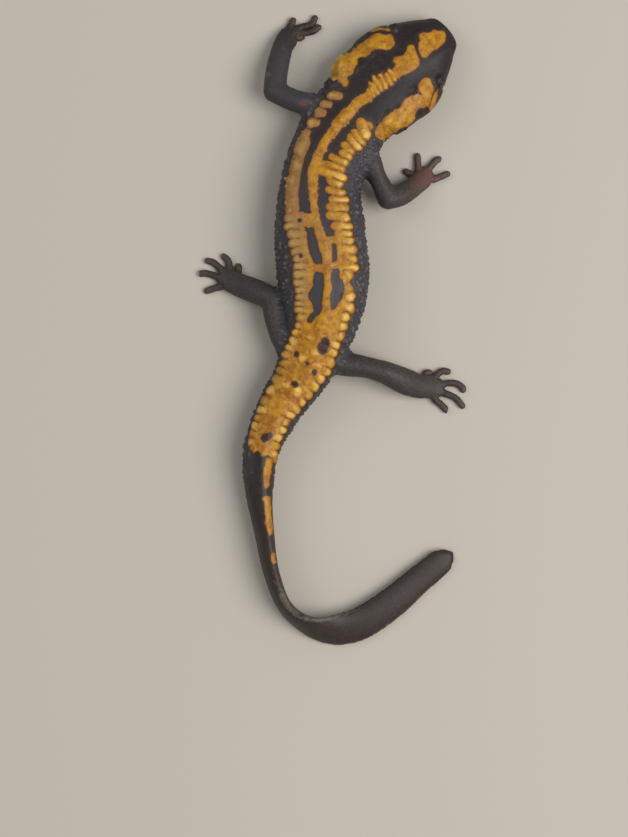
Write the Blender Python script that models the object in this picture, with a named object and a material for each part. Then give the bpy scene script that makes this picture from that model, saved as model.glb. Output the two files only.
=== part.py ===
"""A Laos warty newt at life size, resting on the floor, for Blender 4.5.

Sizes are in millimetres and are turned into metres where a mesh is made.  +Z is up,
the head points to +Y, and the animal's right side is +X.  The origin is on the floor,
under the middle of the animal's bounding box.

The body is one form from the snout to the tail's tip: a section that changes along a
curved spine.  It is divided into named lengths by thin gaps.  Each limb is made whole
from tapered tubes, and is then divided at the elbow or knee and at the wrist or ankle.
"""

import bpy
import numpy as np
from mathutils import Matrix, Vector

MM = 0.001
GAP = 0.3  # between neighbouring pieces

# ---------------------------------------------------------------- driving dimensions

CENTRE = (0.14, 0.30)  # middle of the bounding box, in the tables' own coordinates

# The spine seen from above, from the snout to the tail's tip.
SPINE = [
    (29.3, 75.5), (21.0, 68.4), (12.7, 61.0), (5.5, 53.8), (0.3, 45.3), (-2.6, 35.3),
    (-2.8, 24.8), (-2.1, 15.0), (-2.0, 7.0), (-3.9, -2.5), (-7.5, -11.0), (-13.2, -20.0),
    (-17.4, -29.8), (-18.0, -39.8), (-16.6, -51.0), (-14.7, -61.2), (-10.8, -69.9),
    (-3.2, -74.6), (5.9, -74.0), (14.7, -68.7), (22.6, -62.0), (30.9, -55.4),
]

# Sections along the spine: distance from the snout, half width, height of the back,
# height of the widest level, height of the underside, and how the side is rounded
# (below 1 it is full and boxy, above 1 it is drawn out to a keel).
SECTIONS = [
    (0.0, 4.4, 5.7, 3.8, 2.2, 0.90),
    (2.0, 5.0, 6.5, 3.9, 1.7, 0.90),
    (5.0, 7.0, 7.9, 4.2, 1.4, 0.86),
    (9.0, 9.4, 9.3, 4.6, 1.2, 0.84),
    (13.5, 11.9, 10.3, 5.0, 1.0, 0.84),
    (18.0, 12.7, 11.0, 5.3, 0.8, 0.84),
    (22.0, 12.1, 11.5, 5.5, 0.6, 0.84),
    (27.5, 11.4, 11.8, 5.7, 0.4, 0.84),
    (31.0, 10.3, 11.7, 5.8, 0.5, 0.86),
    (36.0, 10.2, 12.1, 6.0, 0.3, 0.86),
    (44.0, 9.8, 12.9, 6.4, 0.1, 0.84),
    (52.0, 9.9, 13.8, 6.8, -0.1, 0.83),
    (62.0, 11.0, 14.7, 7.1, -0.3, 0.82),
    (72.0, 11.4, 15.0, 7.2, -0.3, 0.82),
    (79.0, 10.7, 14.6, 7.0, -0.3, 0.83),
    (86.0, 9.2, 13.7, 6.7, -0.2, 0.84),
    (92.0, 7.9, 12.8, 6.3, 0.0, 0.86),
    (99.0, 6.8, 11.9, 5.8, 0.0, 0.90),
    (105.0, 5.9, 11.2, 5.4, -0.2, 0.94),
    (112.0, 5.2, 10.8, 5.3, 0.0, 0.98),
    (122.0, 4.2, 10.3, 5.1, 0.0, 1.02),
    (132.0, 3.2, 9.9, 4.9, 0.0, 1.08),
    (142.0, 2.3, 9.5, 4.75, 0.0, 1.12),
    (154.0, 1.8, 9.1, 4.55, 0.0, 1.16),
    (166.0, 1.65, 9.1, 4.55, 0.0, 1.18),
    (178.0, 1.55, 9.2, 4.6, 0.0, 1.18),
    (188.0, 1.45, 8.7, 4.35, 0.0, 1.18),
    (200.0, 1.25, 7.6, 3.8, 0.0, 1.15),
    (207.0, 1.1, 7.0, 3.5, 0.0, 1.10),
    (212.0, 0.95, 6.4, 3.2, 0.0, 1.05),
]
BACK_ROUNDING = 0.85
SNOUT_ROUNDING = 1.7  # length over which the snout closes
TAIL_ROUNDING = 4.0  # length over which the blunt point of the tail closes

# The tail stands on edge near the vent, then turns over and lies on its right side:
# distance from the snout, and the turn in degrees.
TAIL_ROLL = [(106, 0), (118, 8), (127, 17), (140, 14), (160, 12), (166, 20), (171, 38),
             (175, 56), (179, 68), (185, 74), (193, 77), (212, 80)]
TAIL_SETTLES = (104.0, 116.0)  # from here on each section is set down on the floor
FLAT_DEPTH = 0.12  # how much of each section the floor flattens there

# Lengths of the body: name, where it ends, and its number of rings.
LENGTHS = [
    ("head", 30.0, 10), ("neck", 34.5, 3), ("trunk_front", 55.0, 7),
    ("trunk_middle", 84.0, 8), ("trunk_rear", 105.0, 7), ("tail_base", 130.0, 8),
    ("tail_front", 155.0, 7), ("tail_rear", 178.0, 10), ("tail_end", None, 7),
]
BODY_SIDES = 24
CLOSING_TURNS = (12, 35, 62)  # degrees round the quarter circle that closes an end

MOUTH_LEVEL = 3.6  # at the snout
MOUTH_RISE = 0.02  # climb of the mouth's line per millimetre backwards
JAW_LENGTH = 19.0

EYE_RADIUS = 1.65
EYE_BACK = 10.8  # behind the snout
EYE_OUT = 8.4
EYE_LEVEL = 7.0

# Limbs: each stretch is a list of stations, (x, y, height, half width, half height).
# Digits are (x, y) runs from the palm to the tip, the innermost digit first.
LIMBS = {
    "forelimb_right": {
        "upper": [(4.0, 44.8, 7.0, 3.6, 3.6), (8.9, 43.2, 6.9, 3.2, 3.2),
                  (11.5, 38.3, 6.6, 2.35, 2.6), (14.2, 33.0, 6.0, 2.75, 2.7)],
        "lower": [(14.2, 33.0, 6.0, 2.75, 2.7), (17.6, 34.1, 4.5, 2.75, 2.4),
                  (21.2, 36.6, 2.3, 2.5, 1.8)],
        "palm": [(21.2, 36.6, 2.3, 2.5, 1.8), (22.9, 38.3, 1.5, 2.7, 1.35),
                 (23.7, 39.4, 1.2, 2.4, 1.05)],
        "digits": [[(21.4, 38.9), (18.9, 40.3)], [(22.1, 39.6), (21.8, 44.2)],
                   [(24.0, 40.3), (26.4, 43.0), (27.2, 43.4)],
                   [(24.9, 37.9), (27.2, 38.8), (29.3, 39.7)]],
    },
    "forelimb_left": {
        "upper": [(1.0, 54.5, 7.2, 3.4, 3.6), (-5.2, 56.2, 7.1, 2.95, 3.2),
                  (-9.8, 57.6, 6.7, 2.75, 2.9), (-14.1, 59.8, 6.1, 2.85, 2.9)],
        "lower": [(-14.1, 59.8, 6.1, 2.85, 2.9), (-13.4, 65.8, 4.6, 2.8, 2.6),
                  (-12.1, 71.5, 2.5, 2.6, 1.9)],
        "palm": [(-12.1, 71.5, 2.5, 2.6, 1.9), (-10.7, 73.9, 1.5, 2.75, 1.35),
                 (-9.8, 75.0, 1.2, 2.4, 1.05)],
        "digits": [[(-9.4, 74.0), (-7.3, 73.9)], [(-8.8, 74.9), (-4.9, 75.5), (-3.1, 76.6)],
                   [(-9.3, 76.2), (-5.1, 77.3), (-4.0, 78.9)],
                   [(-10.6, 76.0), (-9.5, 78.4)]],
    },
    "hindlimb_right": {
        "upper": [(-2.5, -6.7, 6.4, 3.5, 3.8), (3.4, -8.2, 6.7, 3.2, 3.3),
                  (8.6, -9.1, 6.8, 2.7, 2.9), (13.5, -10.4, 6.4, 2.85, 2.9)],
        "lower": [(13.5, -10.4, 6.4, 2.85, 2.9), (18.2, -12.5, 4.5, 3.3, 2.6),
                  (22.2, -13.9, 2.5, 3.1, 2.0)],
        "palm": [(22.2, -13.9, 2.5, 3.1, 2.0), (25.0, -14.0, 1.6, 2.9, 1.45),
                 (26.5, -14.1, 1.2, 2.6, 1.05)],
        "digits": [[(23.6, -12.2), (23.9, -10.6), (24.8, -10.3)],
                   [(25.4, -12.1), (27.8, -10.1), (29.5, -10.1)],
                   [(26.8, -13.2), (31.1, -13.0), (33.0, -14.0), (33.3, -14.8)],
                   [(27.0, -15.0), (31.1, -16.6), (33.1, -18.7)],
                   [(25.6, -16.7), (27.6, -18.3), (29.1, -19.8)]],
    },
    "hindlimb_left": {
        "upper": [(-5.5, -6.0, 6.4, 3.5, 3.8), (-11.0, -3.8, 6.6, 2.9, 3.2),
                  (-13.8, 2.2, 6.6, 2.6, 2.8), (-14.6, 8.0, 6.2, 2.8, 2.8)],
        "lower": [(-14.6, 8.0, 6.2, 2.8, 2.8), (-18.8, 9.9, 4.4, 3.1, 2.6),
                  (-22.8, 11.5, 2.5, 3.0, 2.0)],
        "palm": [(-22.8, 11.5, 2.5, 3.0, 2.0), (-25.3, 12.8, 1.6, 2.9, 1.45),
                 (-26.7, 13.7, 1.2, 2.6, 1.05)],
        "digits": [[(-23.3, 14.3), (-23.2, 16.4)],
                   [(-25.2, 14.6), (-25.8, 17.6), (-26.9, 18.9)],
                   [(-26.4, 14.3), (-29.2, 17.1), (-31.0, 17.8)],
                   [(-27.1, 13.2), (-31.1, 14.6), (-33.0, 14.5)],
                   [(-26.0, 11.7), (-29.2, 10.9), (-31.2, 10.2)]],
    },
}
PIECE_NAMES = {
    "forelimb_right": ("upper_arm_right", "forearm_right", "hand_right"),
    "forelimb_left": ("upper_arm_left", "forearm_left", "hand_left"),
    "hindlimb_right": ("thigh_right", "shank_right", "foot_right"),
    "hindlimb_left": ("thigh_left", "shank_left", "foot_left"),
}
LIMB_SIDES = 10
DIGIT_SIDES = 8
DIGIT_RADII = (0.90, 0.74, 0.60)  # at the palm, at the middle and at the tip
DIGIT_LEVELS = (1.00, 0.66, 0.50)
CAP_TURNS = (60, 30)  # degrees round the half circle that ends a tube

BEYOND = 60.0  # reach of a cutting block past the piece that it cuts
TRUNK_SPACE = (25.0, 115.0, 30)  # start, end and rings of the body that a limb clears

COLOURS = {  # base colour and roughness
    "body": ((0.030, 0.026, 0.028), 0.5),
    "limb": ((0.052, 0.043, 0.043), 0.5),
    "eye": ((0.045, 0.022, 0.012), 0.15),
}


# ------------------------------------------------------------------ curves and rings

def steady(at, places, values):
    """Cubic interpolation that never overshoots: the slope at each place is the
    harmonic mean of its neighbours' slopes, or nothing where they disagree."""
    x, y = np.asarray(places, float), np.asarray(values, float)
    step = np.diff(x)
    slope = np.diff(y) / step
    same_way = slope[:-1] * slope[1:] > 0
    total = np.where(same_way, slope[:-1] + slope[1:], 1.0)
    tangent = np.r_[slope[0], np.where(same_way, 2 * slope[:-1] * slope[1:] / total, 0),
                    slope[-1]]
    i = np.clip(np.searchsorted(x, at) - 1, 0, len(x) - 2)
    t = np.clip((at - x[i]) / step[i], 0, 1)
    rise = 3 * t**2 - 2 * t**3
    bend = tangent[i] * (t**3 - 2 * t**2 + t) + tangent[i + 1] * (t**3 - t**2)
    return y[i] * (1 - rise) + y[i + 1] * rise + step[i] * bend


def line_through(points, steps):
    """A Catmull-Rom curve through the points, with this many steps between two."""
    p = np.asarray(points, float)
    p = np.vstack([2 * p[0] - p[1], p, 2 * p[-1] - p[-2]])
    t = np.linspace(0, 1, steps, endpoint=False)[:, None]
    runs = [
        0.5 * (2 * b + (c - a) * t + (2 * a - 5 * b + 4 * c - d) * t**2
               + (3 * b - a - 3 * c + d) * t**3)
        for a, b, c, d in zip(p[:-3], p[1:-2], p[2:-1], p[3:])
    ]
    return np.vstack(runs + [p[-2:-1]])


SPINE_LINE = line_through(SPINE, 20)
SPINE_RUN = np.r_[0, np.cumsum(np.linalg.norm(np.diff(SPINE_LINE, axis=0), axis=1))]
BODY_LENGTH = SPINE_RUN[-1]


def spine_at(run):
    """The spine's point at a distance from the snout, and the way to the tail there."""
    reach = 0.6  # half of the stretch over which the direction is taken
    behind, here, ahead = (
        np.array([np.interp(run + step, SPINE_RUN, SPINE_LINE[:, i]) for i in (0, 1)])
        for step in (-reach, 0, reach)
    )
    return here, (ahead - behind) / np.linalg.norm(ahead - behind)


def body_point(run, out, level):
    """A point beside the spine: out is positive on the animal's right side."""
    (x, y), (tail_x, tail_y) = spine_at(run)
    return Vector((x - tail_y * out, y + tail_x * out, level))


def closing(run):
    """1 along the body, falling to 0 at the snout, which is round, and at the tail's
    tip, which is a blunt point."""
    snout = max(1 - run / SNOUT_ROUNDING, 0)
    tail = max(1 - (BODY_LENGTH - run) / TAIL_ROUNDING, 0)
    return (1 - snout**2) ** 0.5 * (1 - tail**1.5) ** 0.8


def body_ring(run, grow=0.0):
    """One section of the body: a superellipse, wide at its widest level."""
    half, back, waist, under, side = (
        steady(run, *zip(*((row[0], row[column]) for row in SECTIONS)))
        for column in range(1, 6)
    )
    angle = np.arange(BODY_SIDES) * 2 * np.pi / BODY_SIDES
    c, s = np.cos(angle), np.sin(angle)
    shrink = closing(run)
    tall = np.where(s > 0, back - waist, waist - under) * shrink + grow
    u = (half * shrink + grow) * np.sign(c) * np.abs(c) ** side
    v = tall * np.sign(s) * np.abs(s) ** BACK_ROUNDING
    roll = np.radians(steady(run, *zip(*TAIL_ROLL)))
    out = u * np.cos(roll) + v * np.sin(roll)
    level = waist + v * np.cos(roll) - u * np.sin(roll)
    settled = np.clip((run - TAIL_SETTLES[0]) / np.ptp(TAIL_SETTLES), 0, 1)
    level -= (level.min() + grow + FLAT_DEPTH) * settled
    level = np.maximum(level, -grow)
    return [body_point(run, o, z) for o, z in zip(out, level)]


def ring_places(start, end, count):
    """Distances of one length's rings, which crowd together where the body closes."""
    close = 1 - np.cos(np.radians(CLOSING_TURNS))
    if start == 0:
        tip, first = SNOUT_ROUNDING * close, SNOUT_ROUNDING
        return np.r_[tip, np.linspace(first, end, count)]
    if end == BODY_LENGTH:
        tip, last = BODY_LENGTH - TAIL_ROUNDING * close[::-1], BODY_LENGTH - TAIL_ROUNDING
        return np.r_[np.linspace(start, last, count), tip]
    return np.linspace(start, end, count)


# -------------------------------------------------------------------- mesh building

def add_object(name, mesh, collection):
    made = bpy.data.objects.new(name, mesh)
    collection.objects.link(made)
    return made


def loft(name, rings, collection, round_ends=(False, False)):
    """A closed skin over rings of equal length.  Each end is a flat face, or a fan of
    triangles where the end is round."""
    sides = len(rings[0])
    verts = [(point - Vector((*CENTRE, 0))) * MM for ring in rings for point in ring]
    around = [(i, (i + 1) % sides) for i in range(sides)]
    faces = [
        (start + i, start + j, start + sides + j, start + sides + i)
        for start in range(0, sides * (len(rings) - 1), sides)
        for i, j in around
    ]
    for is_round, start, ahead in zip(round_ends, (0, len(verts) - sides), (False, True)):
        if is_round:
            pole = sum(verts[start:start + sides], Vector()) / sides
            verts.append(pole)
            tip = len(verts) - 1
            faces += [(start + i, start + j, tip) if ahead else (start + j, start + i, tip)
                      for i, j in around]
        else:
            rim = range(start, start + sides)
            faces.append(tuple(rim) if ahead else tuple(reversed(rim)))
    mesh = bpy.data.meshes.new(name)
    mesh.from_pydata(verts, [], faces)
    mesh.update()
    return add_object(name, mesh, collection)


def body_length(name, start, end, count, collection, grow=0.0):
    """The stretch of the body between two distances from the snout."""
    rings = [body_ring(run, grow) for run in ring_places(start, end, count)]
    return loft(name, rings, collection, (start == 0, end == BODY_LENGTH))


def tube(name, stations, sides, collection):
    """A tapered limb piece: elliptic sections along a curve, with round ends.  Each
    section has a side at its lowest, which the floor flattens."""
    line = line_through(stations, 2)
    ways = np.gradient(line[:, :3], axis=0)
    angle = (np.arange(sides) + 0.5) * 2 * np.pi / sides - np.pi / 2
    turns = np.radians(CAP_TURNS)
    places = [(0, turn, -1) for turn in turns] + [(i, 0, 0) for i in range(len(line))]
    places += [(len(line) - 1, turn, 1) for turn in turns[::-1]]
    rings = []
    for i, turn, direction in places:
        way = Vector(ways[i]).normalized()
        side = Vector((0, 0, 1)).cross(way).normalized()
        up = way.cross(side)
        half_width, half_height = line[i, 3:]
        centre = Vector(line[i, :3]) + way * direction * np.sin(turn) * half_width
        ring = [
            centre + side * np.cos(a) * half_width * np.cos(turn)
            + up * np.sin(a) * half_height * np.cos(turn)
            for a in angle
        ]
        rings.append([Vector((point.x, point.y, max(point.z, 0))) for point in ring])
    return loft(name, rings, collection, (True, True))


def digit_stations(run):
    """Stations of one digit, which lowers and thins from the palm to its tip."""
    along = np.linspace(0, 1, len(run))
    middle = (0, 0.5, 1)
    levels = np.interp(along, middle, DIGIT_LEVELS)
    radii = np.interp(along, middle, DIGIT_RADII)
    return [(x, y, level, r, r) for (x, y), level, r in zip(run, levels, radii)]


def block(frame, low, high, collection):
    """A box between two corners that are given in a frame of its own."""
    bpy.ops.mesh.primitive_cube_add(size=1)
    made = bpy.context.object
    low, high = Vector(low) * MM, Vector(high) * MM
    size = Matrix.Diagonal((*(high - low), 1))
    made.data.transform(frame @ Matrix.Translation((low + high) / 2) @ size)
    move_to(made, collection)
    return made


def frame_at(point, x_axis, y_axis, z_axis):
    axes = Matrix((x_axis, y_axis, z_axis)).transposed().to_4x4()
    return Matrix.Translation((Vector(point) - Vector((*CENTRE, 0))) * MM) @ axes


def half_space(point, way, collection):
    """A large box on the far side of the plane through a point, square to a way."""
    side = Vector((0, 0, 1)).cross(way)
    side = side.normalized() if side.length > 0.01 else Vector((1, 0, 0))
    frame = frame_at(point, side, way.cross(side), way)
    return block(frame, (-BEYOND, -BEYOND, 0), (BEYOND, BEYOND, BEYOND), collection)


def ball(name, point, radius, collection):
    bpy.ops.mesh.primitive_uv_sphere_add(segments=14, ring_count=8, radius=radius * MM)
    made = bpy.context.object
    made.name = name
    made.data.transform(Matrix.Translation((point - Vector((*CENTRE, 0))) * MM))
    move_to(made, collection)
    return made


def move_to(made, collection):
    for owner in list(made.users_collection):
        owner.objects.unlink(made)
    collection.objects.link(made)


def combine(target, other, operation):
    """Applies one exact Boolean to the target, and removes the other object."""
    modifier = target.modifiers.new("combine", "BOOLEAN")
    modifier.operation = operation
    modifier.solver = "EXACT"
    modifier.object = other
    graph = bpy.context.evaluated_depsgraph_get()
    mesh = bpy.data.meshes.new_from_object(target.evaluated_get(graph))
    target.modifiers.clear()
    target.data = mesh
    bpy.data.objects.remove(other)


# ------------------------------------------------------------------------ the pieces

def make_body(newt, cutters):
    """Every length of the body, with the jaw cut free and the eyes in their sockets."""
    start = 0.0
    for name, end, rings in LENGTHS:
        first = start + GAP / 2 if start else 0.0
        last = end - GAP / 2 if end else BODY_LENGTH
        body_length(name, first, last, rings, newt)
        start = end
    head = newt.objects["head"]
    part_jaw(head, newt, cutters)
    for name, out in (("eye_right", EYE_OUT), ("eye_left", -EYE_OUT)):
        centre = body_point(EYE_BACK, out, EYE_LEVEL)
        combine(head, ball("socket", centre, EYE_RADIUS + GAP, cutters), "DIFFERENCE")
        ball(name, centre, EYE_RADIUS, newt)


def part_jaw(head, newt, cutters):
    """Divides the head at the mouth: the lower jaw is what lies under the mouth's line
    and before the jaw's angle, and the head keeps the rest."""
    jaw = add_object("lower_jaw", head.data.copy(), newt)
    _, (tail_x, tail_y) = spine_at(JAW_LENGTH / 2)
    back = Vector((tail_x, tail_y, MOUTH_RISE)).normalized()
    side = Vector((0, 0, 1)).cross(back).normalized()
    corner = body_point(JAW_LENGTH, 0, MOUTH_LEVEL + MOUTH_RISE * JAW_LENGTH)
    frame = frame_at(corner, back, side, back.cross(side))
    for made, operation, slack in ((jaw, "INTERSECT", 0), (head, "DIFFERENCE", GAP)):
        low, high = (-BEYOND, -BEYOND, -BEYOND), (slack, BEYOND, slack)
        combine(made, block(frame, low, high, cutters), operation)


def parting(before, joint, after):
    """The plane at a joint that halves the angle between its two stretches."""
    before, joint, after = (Vector(station[:3]) for station in (before, joint, after))
    come, go = (joint - before).normalized(), (after - joint).normalized()
    return joint, (come + go).normalized()


def make_limb(name, plan, newt, cutters):
    """One whole limb, cut clear of the trunk and then divided in three."""
    whole = tube("whole_limb", plan["upper"], LIMB_SIDES, cutters)
    for stretch in ("lower", "palm"):
        combine(whole, tube(stretch, plan[stretch], LIMB_SIDES, cutters), "UNION")
    for run in plan["digits"]:
        digit = tube("digit", digit_stations(run), DIGIT_SIDES, cutters)
        combine(whole, digit, "UNION")
    start, end, rings = TRUNK_SPACE
    trunk = body_length("trunk_space", start, end, rings, cutters, grow=GAP)
    combine(whole, trunk, "DIFFERENCE")
    joints = [
        parting(plan["upper"][-2], plan["upper"][-1], plan["lower"][1]),
        parting(plan["lower"][-2], plan["lower"][-1], plan["palm"][1]),
    ]
    for index, piece in enumerate(PIECE_NAMES[name]):
        made = add_object(piece, whole.data.copy(), newt)
        if index > 0:
            point, way = joints[index - 1]
            combine(made, half_space(point + way * GAP / 2, way, cutters), "INTERSECT")
        if index < len(joints):
            point, way = joints[index]
            combine(made, half_space(point - way * GAP / 2, -way, cutters), "INTERSECT")
    bpy.data.objects.remove(whole)


def set_origin(made):
    """Puts the object's origin at the middle of its piece."""
    corners = [Vector(corner) for corner in made.bound_box]
    middle = sum(corners, Vector()) / len(corners)
    made.data.transform(Matrix.Translation(-middle))
    made.location = middle


def finish(newt):
    """Gives each piece its own material, smooth shading and crisp cut edges."""
    limb_pieces = {piece for pieces in PIECE_NAMES.values() for piece in pieces}
    root = add_object("newt_root", None, newt)
    for made in [piece for piece in newt.objects if piece is not root]:
        kind = "limb" if made.name in limb_pieces else "body"
        if made.name.startswith("eye"):
            kind = "eye"
        colour, roughness = COLOURS[kind]
        material = bpy.data.materials.new(made.name)
        material.use_nodes = True
        shader = material.node_tree.nodes["Principled BSDF"]
        shader.inputs["Base Color"].default_value = (*colour, 1)
        shader.inputs["Roughness"].default_value = roughness
        shader.inputs["Metallic"].default_value = 0.0
        made.data.materials.clear()
        made.data.materials.append(material)
        made.data.shade_smooth()
        made.data.set_sharp_from_angle(angle=np.radians(40))
        set_origin(made)
        made.parent = root


def main():
    for old in list(bpy.data.objects):
        bpy.data.objects.remove(old)
    newt = bpy.data.collections.new("warty_newt")
    cutters = bpy.data.collections.new("cutters")
    for collection in (newt, cutters):
        bpy.context.scene.collection.children.link(collection)
    make_body(newt, cutters)
    for name, plan in LIMBS.items():
        make_limb(name, plan, newt, cutters)
    bpy.data.collections.remove(cutters)
    finish(newt)


main()
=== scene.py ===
# %% [markdown]
# # A Laos warty newt, life size
#
# The newt rests on the floor with its head turned to its right and its tail curled
# back.  Its body is one wet, warty skin, black with three yellow bands, so the looks
# are made as one closed skin and two eyes, in the space that the fixed pieces hold.
# Lengths are worked out in millimetres and become metres when a mesh is finished.

import bpy
import numpy as np
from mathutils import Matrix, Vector


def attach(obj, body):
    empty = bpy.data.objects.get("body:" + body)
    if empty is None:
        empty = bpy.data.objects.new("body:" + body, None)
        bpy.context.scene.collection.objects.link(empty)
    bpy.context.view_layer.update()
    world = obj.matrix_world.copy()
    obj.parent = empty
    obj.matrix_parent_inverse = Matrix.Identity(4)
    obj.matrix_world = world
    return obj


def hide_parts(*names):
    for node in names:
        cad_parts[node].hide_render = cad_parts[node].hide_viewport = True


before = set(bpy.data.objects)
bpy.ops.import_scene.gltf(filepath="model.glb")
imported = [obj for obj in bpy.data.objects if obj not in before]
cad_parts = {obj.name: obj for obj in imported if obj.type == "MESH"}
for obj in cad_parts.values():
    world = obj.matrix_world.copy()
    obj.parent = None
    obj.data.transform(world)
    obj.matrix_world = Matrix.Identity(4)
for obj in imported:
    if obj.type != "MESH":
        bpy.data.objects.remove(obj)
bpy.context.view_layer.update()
MM = 0.001
print("fixed pieces:", len(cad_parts))

# %% [markdown]
# ## Helpers for curves
#
# An animal's outline has no straight lines and no corners.  Widths and heights are
# known at a few places and have to run smoothly between them without bulging past
# them, which a plain spline would do.  A monotone cubic does not overshoot, so a
# width that is given is also the widest that the body gets there.

# %% Smooth values and smooth lines
CENTRE = np.array([0.14, 0.30])  # the plan's origin lies this far from the model's


def steady(at, places, values):
    """Cubic interpolation that never overshoots: the slope at each place is the
    harmonic mean of its neighbours' slopes, or nothing where they disagree."""
    x, y = np.asarray(places, float), np.asarray(values, float)
    step = np.diff(x)
    slope = np.diff(y) / step
    same_way = slope[:-1] * slope[1:] > 0
    total = np.where(same_way, slope[:-1] + slope[1:], 1.0)
    middle = np.where(same_way, 2 * slope[:-1] * slope[1:] / total, 0)
    tangent = np.r_[slope[0], middle, slope[-1]]
    i = np.clip(np.searchsorted(x, at) - 1, 0, len(x) - 2)
    t = np.clip((at - x[i]) / step[i], 0, 1)
    rise = 3 * t**2 - 2 * t**3
    bend = tangent[i] * (t**3 - 2 * t**2 + t) + tangent[i + 1] * (t**3 - t**2)
    return y[i] * (1 - rise) + y[i + 1] * rise + step[i] * bend


def line_through(points, steps):
    """A Catmull-Rom curve: each stretch is a cubic whose end slopes are half of the
    way between the neighbouring points, with this many steps in a stretch."""
    p = np.asarray(points, float)
    p = np.vstack([2 * p[0] - p[1], p, 2 * p[-1] - p[-2]])
    t = np.linspace(0, 1, steps, endpoint=False)[:, None]
    runs = [
        0.5 * (2 * b + (c - a) * t + (2 * a - 5 * b + 4 * c - d) * t**2
               + (3 * b - a - 3 * c + d) * t**3)
        for a, b, c, d in zip(p[:-3], p[1:-2], p[2:-1], p[3:])
    ]
    return np.vstack(runs + [p[-2:-1]])


def between(low, high, value):
    """0 below low, 1 above high, and a smooth step from one to the other."""
    t = np.clip((value - low) / (high - low), 0, 1)
    return t * t * (3 - 2 * t)


def stretch(run, start, full, fading, end):
    """1 on a stretch of the body, with a smooth step at each of its ends."""
    return between(start, full, run) * (1 - between(fading, end, run))


def hump(distance, reach):
    """A round bump: 1 at no distance, falling as a bell, with this reach."""
    return np.exp(-((distance / reach) ** 2))


# %% [markdown]
# ## The spine and the sections of the body
#
# A museum modeller builds such a body over a bent wire with card sections on it.
# The same is done here: the spine is a curve seen from above, and each section is a
# superellipse that says how wide the body is, how high the back is and how low the
# belly.  A superellipse was chosen because one number turns it from a boxy trunk
# into the keeled blade of the tail.

# %% The spine, its length and its sections
SPINE = [
    (29.3, 75.5), (21.0, 68.4), (12.7, 61.0), (5.5, 53.8), (0.3, 45.3), (-2.6, 35.3),
    (-2.8, 24.8), (-2.1, 15.0), (-2.0, 7.0), (-3.9, -2.5), (-7.5, -11.0), (-13.2, -20.0),
    (-17.4, -29.8), (-18.0, -39.8), (-16.6, -51.0), (-14.7, -61.2), (-10.8, -69.9),
    (-3.2, -74.6), (5.9, -74.0), (14.7, -68.7), (22.6, -62.0), (30.9, -55.4),
]
# Distance from the snout, half width, height of the back, height of the widest
# level, height of the underside, and the rounding of the side.
SECTIONS = [
    (0.0, 4.4, 5.7, 3.8, 2.2, 0.90), (2.0, 5.0, 6.5, 3.9, 1.7, 0.90),
    (5.0, 7.0, 7.9, 4.2, 1.4, 0.86), (9.0, 9.4, 9.3, 4.6, 1.2, 0.84),
    (13.5, 11.9, 10.3, 5.0, 1.0, 0.84), (18.0, 12.7, 11.0, 5.3, 0.8, 0.84),
    (22.0, 12.1, 11.5, 5.5, 0.6, 0.84), (27.5, 11.4, 11.8, 5.7, 0.4, 0.84),
    (31.0, 10.3, 11.7, 5.8, 0.5, 0.86), (36.0, 10.2, 12.1, 6.0, 0.3, 0.86),
    (44.0, 9.8, 12.9, 6.4, 0.1, 0.84), (52.0, 9.9, 13.8, 6.8, -0.1, 0.83),
    (62.0, 11.0, 14.7, 7.1, -0.3, 0.82), (72.0, 11.4, 15.0, 7.2, -0.3, 0.82),
    (79.0, 10.7, 14.6, 7.0, -0.3, 0.83), (86.0, 9.2, 13.7, 6.7, -0.2, 0.84),
    (92.0, 7.9, 12.8, 6.3, 0.0, 0.86), (99.0, 6.8, 11.9, 5.8, 0.0, 0.90),
    (105.0, 5.9, 11.2, 5.4, -0.2, 0.94), (112.0, 5.2, 10.8, 5.3, 0.0, 0.98),
    (122.0, 4.2, 10.3, 5.1, 0.0, 1.02), (132.0, 3.2, 9.9, 4.9, 0.0, 1.08),
    (142.0, 2.3, 9.5, 4.75, 0.0, 1.12), (154.0, 1.8, 9.1, 4.55, 0.0, 1.16),
    (166.0, 1.65, 9.1, 4.55, 0.0, 1.18), (178.0, 1.55, 9.2, 4.6, 0.0, 1.18),
    (188.0, 1.45, 8.7, 4.35, 0.0, 1.18), (200.0, 1.25, 7.6, 3.8, 0.0, 1.15),
    (207.0, 1.1, 7.0, 3.5, 0.0, 1.10), (212.0, 0.95, 6.4, 3.2, 0.0, 1.05),
]
BACK_ROUNDING = 0.85  # of back and belly, as the last column is of the side
SNOUT_ROUNDING = 1.7  # mm from the snout over which the head rounds off
TAIL_ROUNDING, TAIL_THICKNESS = 4.0, 1.2  # the same at the tail's tip, seen flat and on edge
# Distance from the snout, and how far the tail is rolled to its side, in degrees.
TAIL_ROLL = [(106, 0), (118, 8), (127, 17), (140, 14), (160, 12), (166, 20), (171, 38),
             (175, 56), (179, 68), (185, 74), (193, 77), (212, 80)]
TAIL_SETTLES = (104.0, 116.0)  # over this stretch it comes to rest on the floor
FLAT_DEPTH = 0.12  # how far the floor flattens it

spine_line = line_through(SPINE, 40) - CENTRE
spine_run = np.r_[0, np.cumsum(np.linalg.norm(np.diff(spine_line, axis=0), axis=1))]
BODY_LENGTH = spine_run[-1]
print("along the spine:", round(BODY_LENGTH, 1), "mm")

# %% Points beside the spine


WAY_REACH = 0.6  # mm either side over which the spine's way is measured


def spine_at(run):
    """Points of the spine at these distances from the snout, and unit vectors that
    point to the tail there, measured over a short stretch either side."""
    behind, here, ahead = (
        np.stack([np.interp(run + step, spine_run, spine_line[:, i]) for i in (0, 1)], -1)
        for step in (-WAY_REACH, 0, WAY_REACH)
    )
    way = ahead - behind
    return here, way / np.linalg.norm(way, axis=-1, keepdims=True)


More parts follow.
